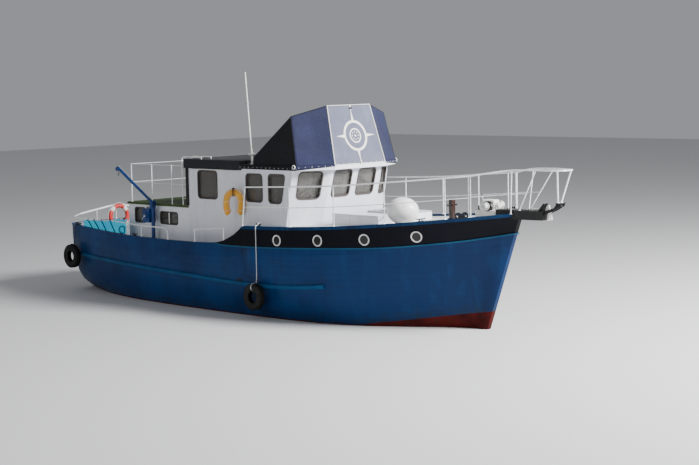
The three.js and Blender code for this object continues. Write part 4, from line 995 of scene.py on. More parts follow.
def makeRose():
    flat = bmesh.new()
    r = rose
    thick = r["thick"]
    for near, far in (r["ring"], r["inner"]):
        band = [(near, 0), (near, thick), ((near + far) / 2, thick * 1.3), (far, thick), (far, 0), (near, 0)]
        addTurned(flat, band, None, 0, 72)
    addTurned(flat, [(0, 0), (r["hub"], 0), (r["hub"], thick), (0, thick)], None, 0, 24)
    start, waist = r["ring"][1] - 0.008, r["waist"]
    for turn, reach in ((0, r["east"]), (90, r["north"]), (180, r["east"]), (270, r["north"])):
        middle = start + (reach - start) * 0.5
        outline = [(start, -waist), (middle, -waist * 0.45), (reach, 0), (middle, waist * 0.45),
                   (start, waist)]
        addPlate(flat, outline, thick, turned(turn, "Z"))
    for step in range(r["dots"]):
        place = turned(360 * step / r["dots"], "Z") @ moved(r["dotRing"], 0, 0)
        addTurned(flat, [(0, 0), (r["dot"], 0), (r["dot"], thick), (0, thick)], place, 0, 14)
    front = frontCorners()
    tall = (front[3] - front[0]).length
    # Laid on the front panel
    for vert in flat.verts:
        v = r["up"] + vert.co.y / tall
        wide = (front[1].y - front[0].y) * (1 - v) + (front[2].y - front[3].y) * v
        vert.co = panelPoint(front, r["across"] + vert.co.x / wide, v, canvas["sag"] * 0.7,
                             vert.co.z + 0.0015)
    boxMapped(flat)
    return settle("rose_applique", flat, ["tape"], merge=1e-6)


def boxMapped(form):
    # Gives cloth its own map in metres from the way each face looks
    flat = form.loops.layers.uv.verify()
    form.normal_update()
    for face in form.faces:
        ways = [abs(part) for part in face.normal]
        first, second = {0: (1, 2), 1: (0, 2), 2: (0, 1)}[ways.index(max(ways))]
        for loop in face.loops:
            loop[flat].uv = (loop.vert.co[first], loop.vert.co[second])


makeCanvas([makeCanvasTrim(), makeRose()])
print("canvas made")

# Horseshoe lifebuoy: a padded U in a laced cover, turned half towards the bow
horseshoe = {
    "centre": (-0.08, -1.965, 2.86), "turn": 45,
    "shape": ((-0.118, -0.3), (-0.166, -0.245), (-0.19, -0.12), (-0.186, 0.05), (-0.13, 0.188), (0, 0.248),
              (0.13, 0.188), (0.186, 0.05), (0.19, -0.12), (0.166, -0.245), (0.118, -0.3)),
    "thick": 0.11, "flat": 0.7, "channels": 9, "pinch": 0.05, "piping": 0.006, "swell": 0.009,
    "voxel": 0.009, "pressure": 4, "frames": 20, "most": 0.0126,
}


def horseshoePlace():
    turn = radians(horseshoe["turn"])
    return basis(horseshoe["centre"], onCircle(turn, 1), (0, 0, 1))


def takeResult(piece):
    # Puts the result of a piece's modifiers into its mesh
    seen = piece.evaluated_get(bpy.context.evaluated_depsgraph_get())
    mesh = bpy.data.meshes.new_from_object(seen)
    piece.modifiers.clear()
    piece.data = mesh


def fillPad(pad):
    # Swells the pad's cover as cloth under pressure; no point moves further than the most that it may
    h = horseshoe
    cover = pad.modifiers.new("cover", "REMESH")
    cover.mode, cover.voxel_size = "VOXEL", h["voxel"]
    takeResult(pad)
    begun = [vert.co.copy() for vert in pad.data.vertices]
    filling = pad.modifiers.new("filling", "CLOTH").settings
    filling.use_pressure = True
    filling.uniform_pressure_force = h["pressure"]
    filling.effector_weights.gravity = 0
    for step in range(h["frames"]):
        bpy.context.scene.frame_set(step + 1)
    takeResult(pad)
    for vert, start in zip(pad.data.vertices, begun):
        move = vert.co - start
        if move.length > h["most"]:
            vert.co = start + move * (h["most"] / move.length)
    finer = pad.modifiers.new("finer", "SUBSURF")
    finer.levels = finer.render_levels = 1
    takeResult(pad)
    pad.data.shade_smooth()
    bpy.context.scene.frame_set(1)


def makeHorseshoe():
    form = bmesh.new()
    h = horseshoe
    line = curved([(x, z, 0) for x, z in h["shape"]], 9)
    count = len(line) - 1
    pinches, swell = [], []
    for step in range(count + 1):
        share = step / count
        tip = min(1.0, min(step, count - step) / 4)
        pinches.append(1 - h["pinch"] * (1 - abs(sin(pi * h["channels"] * share)) ** 0.35))
        swell.append(max(0.08, sqrt(1 - (1 - tip) ** 2)) * pinches[-1])
    radius = h["thick"] - h["swell"]
    addPipe(form, line, radius, smoothness=8, swell=[s / p for s, p in zip(swell, pinches)])
    bmesh.ops.transform(form, matrix=Matrix.Diagonal((1, 1, h["flat"], 1)), verts=form.verts)
    bmesh.ops.remove_doubles(form, verts=form.verts, dist=1e-5)
    bmesh.ops.holes_fill(form, edges=form.edges, sides=0)
    pad = settle("horseshoe_pad", form, ["foam"], stands=["horseshoe_buoy"], smooth=180)
    fillPad(pad)
    # Sewn channels draw the cover in towards the middle line
    form = bmesh.new()
    form.from_mesh(pad.data)
    for vert in form.verts:
        step = min(range(count + 1), key=lambda i: (line[i] - vert.co).length_squared)
        vert.co = line[step] + (vert.co - line[step]) * pinches[step]
    boxMapped(form)
    bmesh.ops.transform(form, matrix=horseshoePlace(), verts=form.verts)
    form.to_mesh(pad.data)
    form.free()
    form = bmesh.new()
    for side in (-1, 1):
        for way in (-1, 1):
            edge = []
            for step in range(2, count - 1):
                along = (line[step + 1] - line[step - 1]).normalized()
                across = xyz(-along.y, along.x, 0) * side
                reach = h["thick"] * swell[step]
                edge.append(line[step] + across * reach * 0.72 + xyz(0, 0, way * reach * h["flat"] * 0.7))
            addPipe(form, edge, h["piping"])
    # The strap over the crown, the hanger on the wall and its two hooks
    crown = len(line) // 2
    for shift in (-0.018, 0.018):
        addRing(form, line[crown] + xyz(shift, 0, 0), (1, 0, 0), h["thick"] * 0.98, 0.008, 1, 36, 8)
    addBlock(form, line[crown] + xyz(-0.025, h["thick"] - 0.012, -0.06),
             line[crown] + xyz(0.025, h["thick"] + 0.004, 0.06), 0.003, 1)
    for leg in (-1, 1):
        for lift in (-0.22, 0.02):
            addRing(form, (leg * 0.203, lift, 0), (0, 1, 0), h["thick"] * 0.97, 0.004, 0, 36, 6)
    boxMapped(form)
    bmesh.ops.transform(form, matrix=horseshoePlace(), verts=form.verts)
    settle("horseshoe_piping", form, ["tape", "canvasSide"])
    form = bmesh.new()
    addBlock(form, (-0.24, -1.733, 2.995), (0.13, -1.7205, 3.045), 0.005)
    for x, hook in ((-0.21, ((-1.726, 3.02), (-1.85, 3.02), (-1.985, 3.0), (-2.01, 3.04))),
                    (0.1, ((-1.726, 3.02), (-1.79, 3.02), (-1.86, 3.0)))):
        addPipe(form, curved([(x, *spot) for spot in hook], 5), 0.011)
    settle("horseshoe_hanger", form, ["galvanised"])


# Ring lifebuoy hung on the transom rail
ringBuoy = {
    "centre": (-7.56, 0, 1.99), "radius": 0.308, "thick": 0.06, "bandHalf": 13, "line": 0.0065,
    "slack": 0.03,
}


def makeRingBuoy():
    form = bmesh.new()
    r = ringBuoy
    verts = addRing(form, r["centre"], (1, 0, 0), r["radius"], r["thick"], 0, 96, 18)
    centre = Vector(r["centre"])
    for face in {f for v in verts for f in v.link_faces}:
        spot = face.calc_center_median() - centre
        turn = degrees(atan2(spot.z, spot.y)) % 90
        if abs(turn - 45) < r["bandHalf"]:
            face.material_index = 1
    outer = r["radius"] + r["thick"]
    route = []
    for turn in rounds(96):
        reach = outer + 0.006 + r["slack"] * abs(sin(2 * turn - pi / 2)) ** 0.8
        route.append(centre + xyz(0.012, cos(turn) * reach, sin(turn) * reach))
    addPipe(form, route, r["line"], 2, closed=True)
    for turn in rounds(4, 45):
        for side in (-1, 1):
            at = turn + side * radians(r["bandHalf"])
            spot = centre + xyz(0, cos(at), sin(at)) * r["radius"]
            addRing(form, spot, (0, -sin(at), cos(at)), r["thick"] + 0.001, 0.003, 2, 28, 6)
    addBlock(form, (-7.66, -0.03, 2.245), (-7.54, 0.03, 2.295), 0.004, 3)
    addPipe(form, curved([(-7.55, 0, 2.27), (-7.5, 0, 2.27), (-7.485, 0, 2.3)], 5), 0.009, 3)
    boxMapped(form)
    settle("ring_lifebuoy", form, ["orange", "tape", "ropeWhite", "galvanised"],
           stands=["ring_buoy"], smooth=60)


# Ball fender lying on the foredeck, its rope eye pointing aft
ballFender = {
    "centre": (5.055, -1.15), "size": (0.4, 0.356, 0.325), "neckLift": 12,
    "neck": ((0, -0.03), (0.11, -0.03), (0.088, 0.01), (0.062, 0.03), (0.054, 0.045), (0.062, 0.052),
             (0.054, 0.062), (0.062, 0.07), (0.05, 0.082), (0.03, 0.09), (0, 0.092)),
    "tail": ((4.42, -1.16, 2.62), (4.33, -1.28, 2.535), (4.15, -1.45, 2.515), (3.95, -1.62, 2.5),
             (3.75, -1.8, 2.49), (3.6, -1.92, 2.5)),
}


def makeBallFender():
    form = bmesh.new()
    b = ballFender
    deck = topOf("foredeck", *b["centre"])
    centre = Vector((*b["centre"], deck + b["size"][2] - 0.012))
    made = bmesh.ops.create_uvsphere(form, u_segments=64, v_segments=40, radius=1, matrix=turned(90, "Y"))
    slope = (topOf("foredeck", centre.x + 0.2, centre.y) - deck) / 0.2
    for vert in made["verts"]:
        dent = 1 + 0.012 * noise.noise(vert.co * 1.7) - 0.012 * exp(-(vert.co.x / 0.02) ** 2)
        spot = centre + Vector(part * size for part, size in zip(vert.co, b["size"])) * dent
        floor = deck + slope * (spot.x - centre.x) + 0.004
        if spot.z < floor + 0.02:
            spot.z = floor + 0.02 * exp((spot.z - floor - 0.02) / 0.02)
        vert.co = spot
    lift = radians(b["neckLift"])
    neck = xyz(-cos(lift), 0, sin(lift))
    place = Matrix.Translation(centre + xyz(0.03 - b["size"][0], 0, 0.05)) @ turnedTo(neck)
    addTurned(form, b["neck"], place, 0, 36)
    addRing(form, place @ xyz(0, 0, 0.095), neck.cross(xyz(0, 0, 1)), 0.028, 0.013, 0, 28, 10)
    top = place @ xyz(0, 0, 0.115)
    tail = [top, top + xyz(-0.05, 0.01, -0.04), *b["tail"]]
    route = curved(tail, 6)
    # Beyond the first bend the line lies on the deck
    for step, spot in enumerate(route[18:], 18):
        route[step] = xyz(spot.x, spot.y, topOf("foredeck", spot.x, spot.y) + 0.009)
    addPipe(form, route, 0.008, 1)
    addRing(form, (3.56, -1.976, 2.475), (0, 0, 1), 0.024, 0.008, 1, 24, 8)
    settle("ball_fender_vinyl", form, ["vinyl", "ropeWhite"], stands=["ball_fender"],
           smooth=50)


# Tyre fenders hung from the rail on ropes
tyre = {
    "section": ((0.15, -0.06), (0.158, -0.074), (0.2, -0.089), (0.27, -0.091), (0.312, -0.078),
                (0.329, -0.05), (0.333, 0.0), (0.329, 0.05), (0.312, 0.078), (0.27, 0.091), (0.2, 0.089),
                (0.158, 0.074), (0.15, 0.06), (0.162, 0.058), (0.2, 0.074), (0.262, 0.076),
                (0.298, 0.06), (0.312, 0.0), (0.298, -0.06), (0.262, -0.076), (0.2, -0.074),
                (0.162, -0.058), (0.15, -0.06)),
    "blocks": 44, "rope": 0.011,
}


def addTyre(form, centre):
    place = Matrix.Translation(centre) @ turned(-90, "X")
    addTurned(form, tyre["section"], place, 0, 64)
    for step in range(tyre["blocks"]):
        turn = turned(360 * step / tyre["blocks"], "Z")
        for row, lean in ((-0.048, 0.25), (-0.016, -0.2), (0.016, 0.2), (0.048, -0.25)):
            block = place @ turn @ moved(0.332, 0, row) @ Matrix.Rotation(lean, 4, "X")
            addBlock(form, (-0.008, -0.017, -0.0125), (0.0035, 0.017, 0.0125), 0, 0, 1, block)
    for side in (-1, 1):
        for reach, thick, out in ((0.186, 0.003, 0.0885), (0.292, 0.004, 0.088)):
            addRing(form, Vector(centre) + xyz(0, side * out, 0), (0, 1, 0), reach, thick, 0, 64, 6)


def makeTyres():
    form = bmesh.new()
    x, y, z = 1.07, -2.375, 0.56
    addTyre(form, (x, y, z))
    addRing(form, (x, y, z + 0.242), (1, 0, 0), 0.1, tyre["rope"], 1, 32, 8)
    line = [(x, -2.29, z + 0.335), (x, -2.268, 1.1), (x, -2.267, 1.7), (x, -2.268, 2.24), (x, -2.262, 2.318),
            (x - 0.005, -2.23, 2.338), (x - 0.01, -2.155, 2.335)]
    addPipe(form, curved(line, 6), tyre["rope"], 1)
    addBlock(form, (x - 0.07, -2.185, 2.316), (x + 0.07, -2.135, 2.334), 0.005, 2)
    for at in (x - 0.035, x + 0.035):
        addBar(form, (at, -2.16, 2.33), (at, -2.16, 2.362), 0.013, 2)
    addBar(form, (x - 0.1, -2.16, 2.37), (x + 0.1, -2.16, 2.37), 0.014, 2, edge=0.006)
    for turn in range(3):
        addRing(form, (x - 0.01 + turn * 0.011, -2.16, 2.37), (1, 0.2, 0), 0.026, 0.0085, 1, 24, 8)
    settle("tyre_fender_amidships", form, ["rubber", "ropeWhite", "black"],
           stands=["tyre_fender_side"], smooth=45)
    form = bmesh.new()
    x, y, z = -7.15, -2.01, 1.01
    addTyre(form, (x, y, z))
    addRing(form, (x, y, z + 0.242), (1, 0, 0), 0.106, tyre["rope"], 1, 32, 8)
    addPipe(form, curved([(x, -1.93, z + 0.32), (x, -1.885, 1.6), (x, -1.872, 1.88), (x, -1.855, 1.925),
                          (x, -1.8, 1.93), (x, -1.77, 1.925)], 6), tyre["rope"], 1)
    addRing(form, (x, -1.8, 1.93), (1, 0, 0), 0.022, 0.009, 1, 24, 8)
    addBlock(form, (x - 0.06, -1.825, 1.9), (x + 0.06, -1.775, 1.92), 0.005, 2)
    addBar(form, (x - 0.09, -1.8, 1.95), (x + 0.09, -1.8, 1.95), 0.013, 2, edge=0.006)
    for at in (x - 0.03, x + 0.03):
        addBar(form, (at, -1.8, 1.91), (at, -1.8, 1.95), 0.011, 2)
    settle("tyre_fender_aft", form, ["rubber", "ropeDark", "black"],
           stands=["tyre_fender_quarter"], smooth=45)


# Weather cloths laced between the bulwark and the stern rail, the forward end bundled
cloth = {
    "aft": -6.68, "fore": -4.39, "thick": 0.003, "columns": 150, "rows": 16, "crumpleFrom": -4.85,
    "half": ((-6.9, 1.872), (-6.7, 1.903), (-5.9, 2.022), (-5.09, 2.105), (-4.38, 2.152)),
    "top": ((-6.7, 2.075), (-5.9, 2.11), (-5.09, 2.13), (-4.38, 2.112)),
    "foot": ((-6.9, 1.885), (-5.09, 1.812), (-4.38, 1.789)),
    "lacing": (-6.42, -6.05, -5.65, -5.2), "rope": 0.011, "map": (2.35, 0.3),
}


def onLine(table, x):
    for (x0, v0), (x1, v1) in zip(table, table[1:]):
        if x <= x1 or (x1, v1) == table[-1]:
            return v0 + (v1 - v0) * (x - x0) / (x1 - x0)


def clothPoint(u, v, sign):
    c = cloth
    x = c["aft"] + (c["fore"] - c["aft"]) * u
    top, foot = onLine(c["top"], x), onLine(c["foot"], x) + 0.012
    scallop = 0.012 * abs(sin(pi * (x - c["aft"]) / 0.19)) * v
    z = foot + (top - scallop - foot) * v
    ripple = 0.006 * sin(x * 23 + v * 2.5) + 0.004 * noise.noise(xyz(x * 3, v * 2, sign))
    ripple *= sin(pi * min(1, v * 0.9 + 0.1))
    bundle = max(0.0, (x - c["crumpleFrom"]) / (c["fore"] - c["crumpleFrom"]))
    heap = min(1.0, max(0.0, (x + 5.32) / 0.5)) * max(0.0, v - 0.5) / 0.5
    z += heap * (0.075 + 0.02 * sin(x * 31) + 0.012 * sin(x * 67))
    ripple += heap * (0.03 * sin(x * 44 + v * 8) - 0.05)
    bulk = 0.02 * bundle * sin(u * 95 + v * 6) * sin(pi * (0.15 + 0.7 * v))
    x -= 0.03 * bundle * sin(v * 9 + u * 40)
    z += 0.035 * bundle * v * (0.7 + 0.3 * sin(u * 60))
    return xyz(x, sign * (onLine(c["half"], x) - 0.004 + ripple + bulk), z)


def makeWeatherCloths():
    c = cloth
    for sign, side in sides:
        form = bmesh.new()
        for vert, (u, v) in addGrid(form, c["columns"], c["rows"], 0, *c["map"]).items():
            vert.co = clothPoint(u, v, sign)
        if sign > 0:
            bmesh.ops.reverse_faces(form, faces=form.faces)
        sheet = settleMesh("weather_sheet_" + side, meshOf("weather_cloth", form), ["cyan"],
                           vessel, ["weather_cloth_" + side], 180)
        wall = sheet.modifiers.new("wall", "SOLIDIFY")
        wall.thickness, wall.offset = c["thick"], 0
        form = bmesh.new()
        for v in (0.0, 1.0):
            edge = [clothPoint(step / 60, v, sign) for step in range(61)]
            addPipe(form, edge, 0.005, 1 if v == 0 else 0)
        for x in c["lacing"]:
            share = (x - c["aft"]) / (c["fore"] - c["aft"])
            over = xyz(0, sign * 0.014, 0)
            route = [clothPoint(share, 1.0, sign) + xyz(0, -sign * 0.02, 0.035),
                     clothPoint(share, 0.97, sign) + over + xyz(0, 0, 0.02)]
            route += [clothPoint(share + 0.02 * (step + 1), 0.85 - 0.17 * step, sign) + over
                      for step in range(5)]
            route.append(clothPoint(share + 0.12, 0.0, sign) + over + xyz(0, 0, -0.02))
            addPipe(form, curved(route, 4), c["rope"], 1)
        for step in range(18):
            share = (step + 0.5) / 18
            spot = clothPoint(share, 0.985, sign) + xyz(0, -sign * 0.008, 0.006)
            addRing(form, spot, (1, 0, 0.5), 0.024, 0.0035, 0, 20, 6)
        # The lashing's loose end hangs in a loop outside the bundled end
        loop = [(0.9, 0.55), (0.865, 0.32), (0.885, 0.12), (0.935, 0.06), (0.975, 0.14), (0.985, 0.45),
                (0.95, 0.62)]
        route = [clothPoint(u, v, sign) + xyz(0, sign * 0.032, 0) for u, v in loop]
        addPipe(form, curved(route, 6, True), c["rope"], 1, closed=True)
        trim = settle("cloth_lacing_" + side, form, ["ropeWhite", "ropeDark"])


makeHorseshoe()
makeRingBuoy()
makeBallFender()
makeTyres()
makeWeatherCloths()
print("buoys, fenders and cloths made")

# Rails: round tubes on the same lines as the solids, with foot flanges and screws
rails = {
    "guard": ((0.56, 2.144, 3.27), (2.14, 2.101, 3.33), (3.56, 1.976, 3.395), (4.98, 1.703, 3.505),
              (6.38, 1.146, 3.62), (6.85, 0.859, 3.662)),
    "cap": ((-7.75, 1.914), (-6.7, 1.886), (-5.09, 1.811), (-3.71, 1.778), (-1.4, 1.783), (-0.64, 1.809),
            (0.45, 2.293), (1.5, 2.326), (2.14, 2.35), (3.56, 2.43), (4.98, 2.54), (6.38, 2.67),
            (6.9, 2.722)),
    "guardEnd": (6.895, 0.846, 3.666), "top": 0.017, "post": 0.014, "wire": 0.009, "dip": 0.02,
}


def addPost(form, foot, head, radius, wide=0.036):
    # A tube from its foot flange to its head
    foot, head = Vector(foot), Vector(head)
    addBar(form, foot, head, radius, 0, 16)
    addBar(form, foot, foot + xyz(0, 0, 0.007), wide, 0, 20, edge=0.002)
    addBar(form, foot + xyz(0, 0, 0.005), foot + xyz(0, 0, 0.022), radius * 1.5, 0, 16, radius * 1.1)
    for turn in rounds(3):
        addBall(form, foot + onCircle(turn + 0.5, wide * 0.72, 0.008), 0.0045, 0, 8, 5, (1, 1, 0.6))


def makeGuardRails():
    r = rails
    for sign, side in sides:
        form = bmesh.new()
        points = [xyz(x, sign * y, z) for x, y, z in r["guard"]]
        end = xyz(r["guardEnd"][0], sign * r["guardEnd"][1], r["guardEnd"][2])
        addPipe(form, curved(points + [end], 8), r["top"])
        addBall(form, points[0], r["top"] * 1.05)
        middle = []
        for point in points:
            cap = onLine(r["cap"], point.x)
            # The aftmost post leans a little forward from its foot
            lean = xyz(-0.085, sign * 0.03, 0) if point is points[0] else Vector()
            foot = xyz(point.x, point.y, cap - 0.002) + lean
            addPost(form, foot, point - xyz(0, 0, 0.01), r["post"])
            along = (point - foot).normalized()
            middle.append(foot.lerp(point, 0.5) - along * r["dip"])
            addBar(form, middle[-1] - along * 0.02, middle[-1] + along * 0.02, r["post"] * 1.3, 0, 16)
            addBar(form, point - along * 0.035, point, r["post"] * 1.25, 0, 16)
        addPipe(form, curved(middle, 8), r["wire"])
        settle("guard_rail_tubes_" + side, form, ["steel"], stands=["guard_rail_" + side])


pulpitShape = {
    "side": ((6.895, 0.846, 3.666), (7.32, 0.62, 3.74), (7.74, 0.4, 3.795), (8.3, 0.33, 3.815),
             (8.8, 0.3, 3.815), (9.01, 0.19, 3.815)),
    "nose": (9.06, 0, 3.815), "top": 0.019,
    "lower": ((6.895, 0.846, 3.185), (7.695, 0.358, 3.25), (8.048, 0.252, 3.275)),
    "posts": (((7.654, 0.325, 2.798), (7.745, 0.398, 3.795), 0.015),
              ((7.8, 0.195, 2.872), (8.381, 0.325, 3.812), 0.015),
              ((8.8, 0.06, 3.079), (8.935, 0.255, 3.812), 0.02)),
    "short": ((6.895, 0.846, 2.721), (6.895, 0.846, 2.925), (6.895, 0.846, 3.666)), "shortPost": 0.012,
}


def makePulpit():
    form = bmesh.new()
    p = pulpitShape
    side = [Vector(point) for point in p["side"]]
    mirrored = [xyz(point.x, -point.y, point.z) for point in side]
    addPipe(form, curved(mirrored + [Vector(p["nose"])] + side[::-1], 8), p["top"])
    for sign in (-1, 1):
        flip = Matrix.Diagonal((1, sign, 1, 1))
        addPipe(form, curved([flip @ Vector(point) for point in p["lower"]], 8), 0.009)
        for foot, head, radius in p["posts"]:
            foot, head = flip @ Vector(foot), flip @ Vector(head)
            addBar(form, foot, head, radius, 0, 16)
            along = (head - foot).normalized()
            addBar(form, foot, foot + along * 0.03, radius * 1.5, 0, 16, radius * 1.1)
            addBar(form, head - along * 0.04, head, radius * 1.25, 0, 16)
            addBar(form, foot - xyz(0, 0, 0.002), foot + xyz(0, 0, 0.006), radius * 2.2, 0, 20, edge=0.002)
        foot, middle, head = (flip @ Vector(point) for point in p["short"])
        addBar(form, middle, head, p["shortPost"], 0, 16)
        addBar(form, foot, middle, p["shortPost"], 0, 16)
    settle("pulpit_tubes", form, ["steel"], stands=["pulpit"])


sternRail = {
    "side": ((-2.53, 2.181, 1.77), (-2.53, 2.181, 1.86), (-2.58, 2.18, 2.01), (-2.76, 2.176, 2.072),
             (-3.71, 2.148, 2.08), (-5.09, 2.07, 2.128), (-6.7, 1.868, 2.075), (-7.35, 1.741, 2.11),
             (-7.64, 1.33, 2.15)),
    "transom": ((-7.64, 1.33, 2.15), (-7.695, 0.7, 2.23), (-7.695, 0.0, 2.31)),
    "posts": ((-3.71, 2.148, 2.08), (-5.09, 2.07, 2.128), (-6.7, 1.868, 2.075), (-7.695, 0.7, 2.23)),
    "pipe": 0.017, "thick": 0.031, "post": 0.013,
}


def makeSternRails():
    form = bmesh.new()
    s = sternRail
    halves = []
    for sign in (-1, 1):
        halves.append([xyz(x, sign * y, z) for x, y, z in s["side"]])
        for x, y, z in s["posts"]:
            addPost(form, (x, sign * y, onLine(rails["cap"], x) - 0.002), (x, sign * y, z), s["post"], 0.03)
        x, y, z = s["side"][0]
        addPost(form, (x, sign * y, z), (x, sign * y, z + 0.06), s["pipe"], 0.034)
        addPipe(form, curved(halves[-1], 8), s["pipe"])
    addPost(form, (-7.695, 0, 1.911), (-7.695, 0, 2.31), s["post"], 0.03)
    bar = [Vector(point) for point in s["transom"]]
    bar = [xyz(b.x, -b.y, b.z) for b in bar] + bar[-2::-1]
    addPipe(form, curved(bar, 10), s["thick"], smoothness=4)
    addBlock(form, (-7.7, -0.03, 2.24), (-7.66, 0.03, 2.3), 0.004)
    settle("stern_rail_tubes", form, ["steel"], stands=["stern_rail"])
    for sign, side in sides:
        form = bmesh.new()
        aft, fore = xyz(-1.4, sign * 2.191, 2.105), xyz(-0.25, sign * 2.19, 2.19)
        addPost(form, (aft.x, aft.y, onLine(rails["cap"], aft.x) - 0.002), aft, 0.015)
        addPost(form, (fore.x, fore.y, topOf("raised_topside", fore.x, fore.y)), fore, 0.015)
        route = [xyz(aft.x, aft.y, 2.05), aft + xyz(0.02, 0, 0), aft.lerp(fore, 0.5), fore]
        addPipe(form, curved(route, 6), 0.016)
        addBall(form, fore, 0.0165)
        addBall(form, aft, 0.0165)
        settle("gate_rail_tubes_" + side, form, ["steel"], stands=["gate_rail_" + side])


poopRail = {
    "half": 1.64, "posts": (-4.73, -3.83, -2.97, -2.33), "foot": 2.66, "top": 3.7,
    "levels": (3.7, 3.2), "tube": 0.0072,
}


def makePoopRail():
    form = bmesh.new()
    p = poopRail
    half, corner, fore = p["half"], p["posts"][0], p["posts"][-1]
    for y in (-half, half):
        for x in p["posts"]:
            addPost(form, (x, y, p["foot"]), (x, y, p["top"]), 0.014)
            addBall(form, (x, y, p["top"]), 0.0155)
            for z in p["levels"]:
                addRing(form, (x, y, z), (1, 0, 0), 0.012, 0.004, 0, 16, 6)
    for z in p["levels"]:
        for y in (-half, half):
            sag = [(corner + (fore - corner) * t / 12, y, z - 0.006 * abs(sin(pi * t / 4)))
                   for t in range(13)]
            addPipe(form, sag, p["tube"])
        low, aft = z - 0.008, corner - 0.004
        across = [(aft, -half, z), (aft, -half / 3, low), (aft, half / 3, low), (aft, half, z)]
        addPipe(form, across, p["tube"])
    settle("poop_rail_tubes", form, ["steel"], stands=["poop_rail"])


makeGuardRails()
makePulpit()
makeSternRails()
makePoopRail()
print("rails made")

# Deck gear forward: windlass, chain, anchor, samson post, fairleads and cleats
windlass = {
    "axle": (6.83, 2.925), "teeth": 10, "link": 0.036,
    "motor": ((0, 0), (0.075, 0), (0.082, 0.02), (0.082, 0.07), (0.06, 0.1), (0, 0.105)),
    "drum": ((0, 0), (0.098, 0), (0.098, 0.01), (0.066, 0.028), (0.058, 0.06), (0.062, 0.09), (0.094, 0.118),
             (0.098, 0.128), (0, 0.128)),
    "gypsy": ((0, 0), (0.115, 0), (0.118, 0.012), (0.092, 0.032), (0.086, 0.045), (0.092, 0.058),
              (0.118, 0.078), (0.115, 0.09), (0, 0.09)),
}


def makeWindlass():
    form = bmesh.new()
    x, z = windlass["axle"]
    addBlock(form, (6.452, -0.168, topOf("foredeck", 6.76, 0) - 0.03), (7.078, 0.168, 2.828), 0.012, 0, 3)
    addBlock(form, (6.6, -0.112, 2.82), (6.985, 0.112, 3.075), 0.045, 0, 4)
    addBlock(form, (6.47, -0.1, 2.82), (6.605, 0.1, 2.925), 0.02, 1, 3)
    addTurned(form, windlass["motor"], moved(6.97, 0, 2.94) @ turned(90, "Y"))
    addBar(form, (x, -0.33, z), (x, 0.33, z), 0.03, 2, 24)
    for sign in (-1, 1):
        drum, gypsy = (moved(x, sign * out, z) @ turned(-sign * 90, "X") for out in (0.216, 0.118))
        addTurned(form, windlass["drum"], drum, 0, 40)
        addBar(form, (x, sign * 0.344, z), (x, sign * 0.352, z), 0.03, 2, 6)
        addTurned(form, windlass["gypsy"], gypsy, 3, 40)
        for tooth in range(windlass["teeth"]):
            turn = turned(360 * tooth / windlass["teeth"], "Z")
            addBlock(form, (0.084, -0.012, 0.014), (0.112, 0.012, 0.076), 0.003, 3, 1, gypsy @ turn)
    for spot in ((6.48, -0.14), (6.48, 0.14), (7.05, -0.14), (7.05, 0.14)):
        addBar(form, (*spot, 2.826), (*spot, 2.838), 0.014, 2, 6)
    # Brake handle on the starboard side
    addPipe(form, curved([(6.72, -0.105, 3.0), (6.7, -0.16, 3.06), (6.66, -0.17, 3.18)], 5), 0.009, 2)
    addBall(form, (6.66, -0.17, 3.19), 0.018, 3)
    settle("windlass_gear", form, ["whiteMetal", "timber", "galvanised", "iron"],
           stands=["windlass"])


def makeChain():
    form = bmesh.new()
    route = curved([(6.93, -0.163, 2.985), (7.0, -0.16, 2.91), (7.09, -0.14, 2.882), (7.3, -0.08, 2.882),
                    (7.6, -0.02, 2.882), (7.93, 0, 2.884)], 12)
    length = sum((b - a).length for a, b in zip(route, route[1:]))
    links = int(length / windlass["link"])
    for link in range(links):
        want, walked = (link + 0.5) * length / links, 0.0
        for a, b in zip(route, route[1:]):
            step = (b - a).length
            if walked + step >= want:
                spot, along = a.lerp(b, (want - walked) / step), (b - a).normalized()
                break
            walked += step
        across = along.cross(xyz(0, 0, 1) if link % 2 else xyz(0, 1, 0)).normalized()
        loop = [spot + along * (0.017 * cos(t) + copysign(0.006, cos(t)))
                + across * (0.0105 * sin(t)) for t in rounds(12)]
        addPipe(form, loop, 0.0042, closed=True, smoothness=1)
    settle("anchor_chain", form, ["galvanised"])


def makeAnchor():
    form = bmesh.new()
    flat = moved(0, 0.014, 0) @ turned(90, "X")
    shank = [(7.962, 2.872), (8.438, 2.872), (8.5, 2.962), (8.498, 2.998), (8.442, 2.998), (8.4, 2.919),
             (7.975, 2.919), (7.962, 2.905)]
    addPlate(form, shank, 0.028, flat, 0, 0.006, 3)
    addRing(form, (7.98, 0, 2.895), (0, 1, 0), 0.014, 0.006, 1, 20, 8)
    loose = bmesh.new()
    corners = [(8.482, -0.013, 3.018), (8.482, 0.013, 3.018), (8.514, -0.013, 3.008), (8.514, 0.013, 3.008),
               (8.432, 0, 2.645), (8.615, 0, 2.684), (8.56, 0, 2.86), (8.54, -0.06, 2.702),
               (8.54, 0.06, 2.702), (8.5, -0.042, 2.86), (8.5, 0.042, 2.86)]
    made = bmesh.ops.convex_hull(loose, input=[loose.verts.new(corner) for corner in corners])
    bmesh.ops.delete(loose, geom=madeVerts(made["geom_interior"]), context="VERTS")
    soften(loose, list(loose.faces), 0.004, 2, 25)
    addLoose(form, loose, 0)
    addBar(form, (8.49, -0.022, 2.985), (8.49, 0.022, 2.985), 0.011, 1, 16)
    settle("plough_anchor", form, ["whiteMetal", "galvanised"], stands=["anchor"], smooth=35)


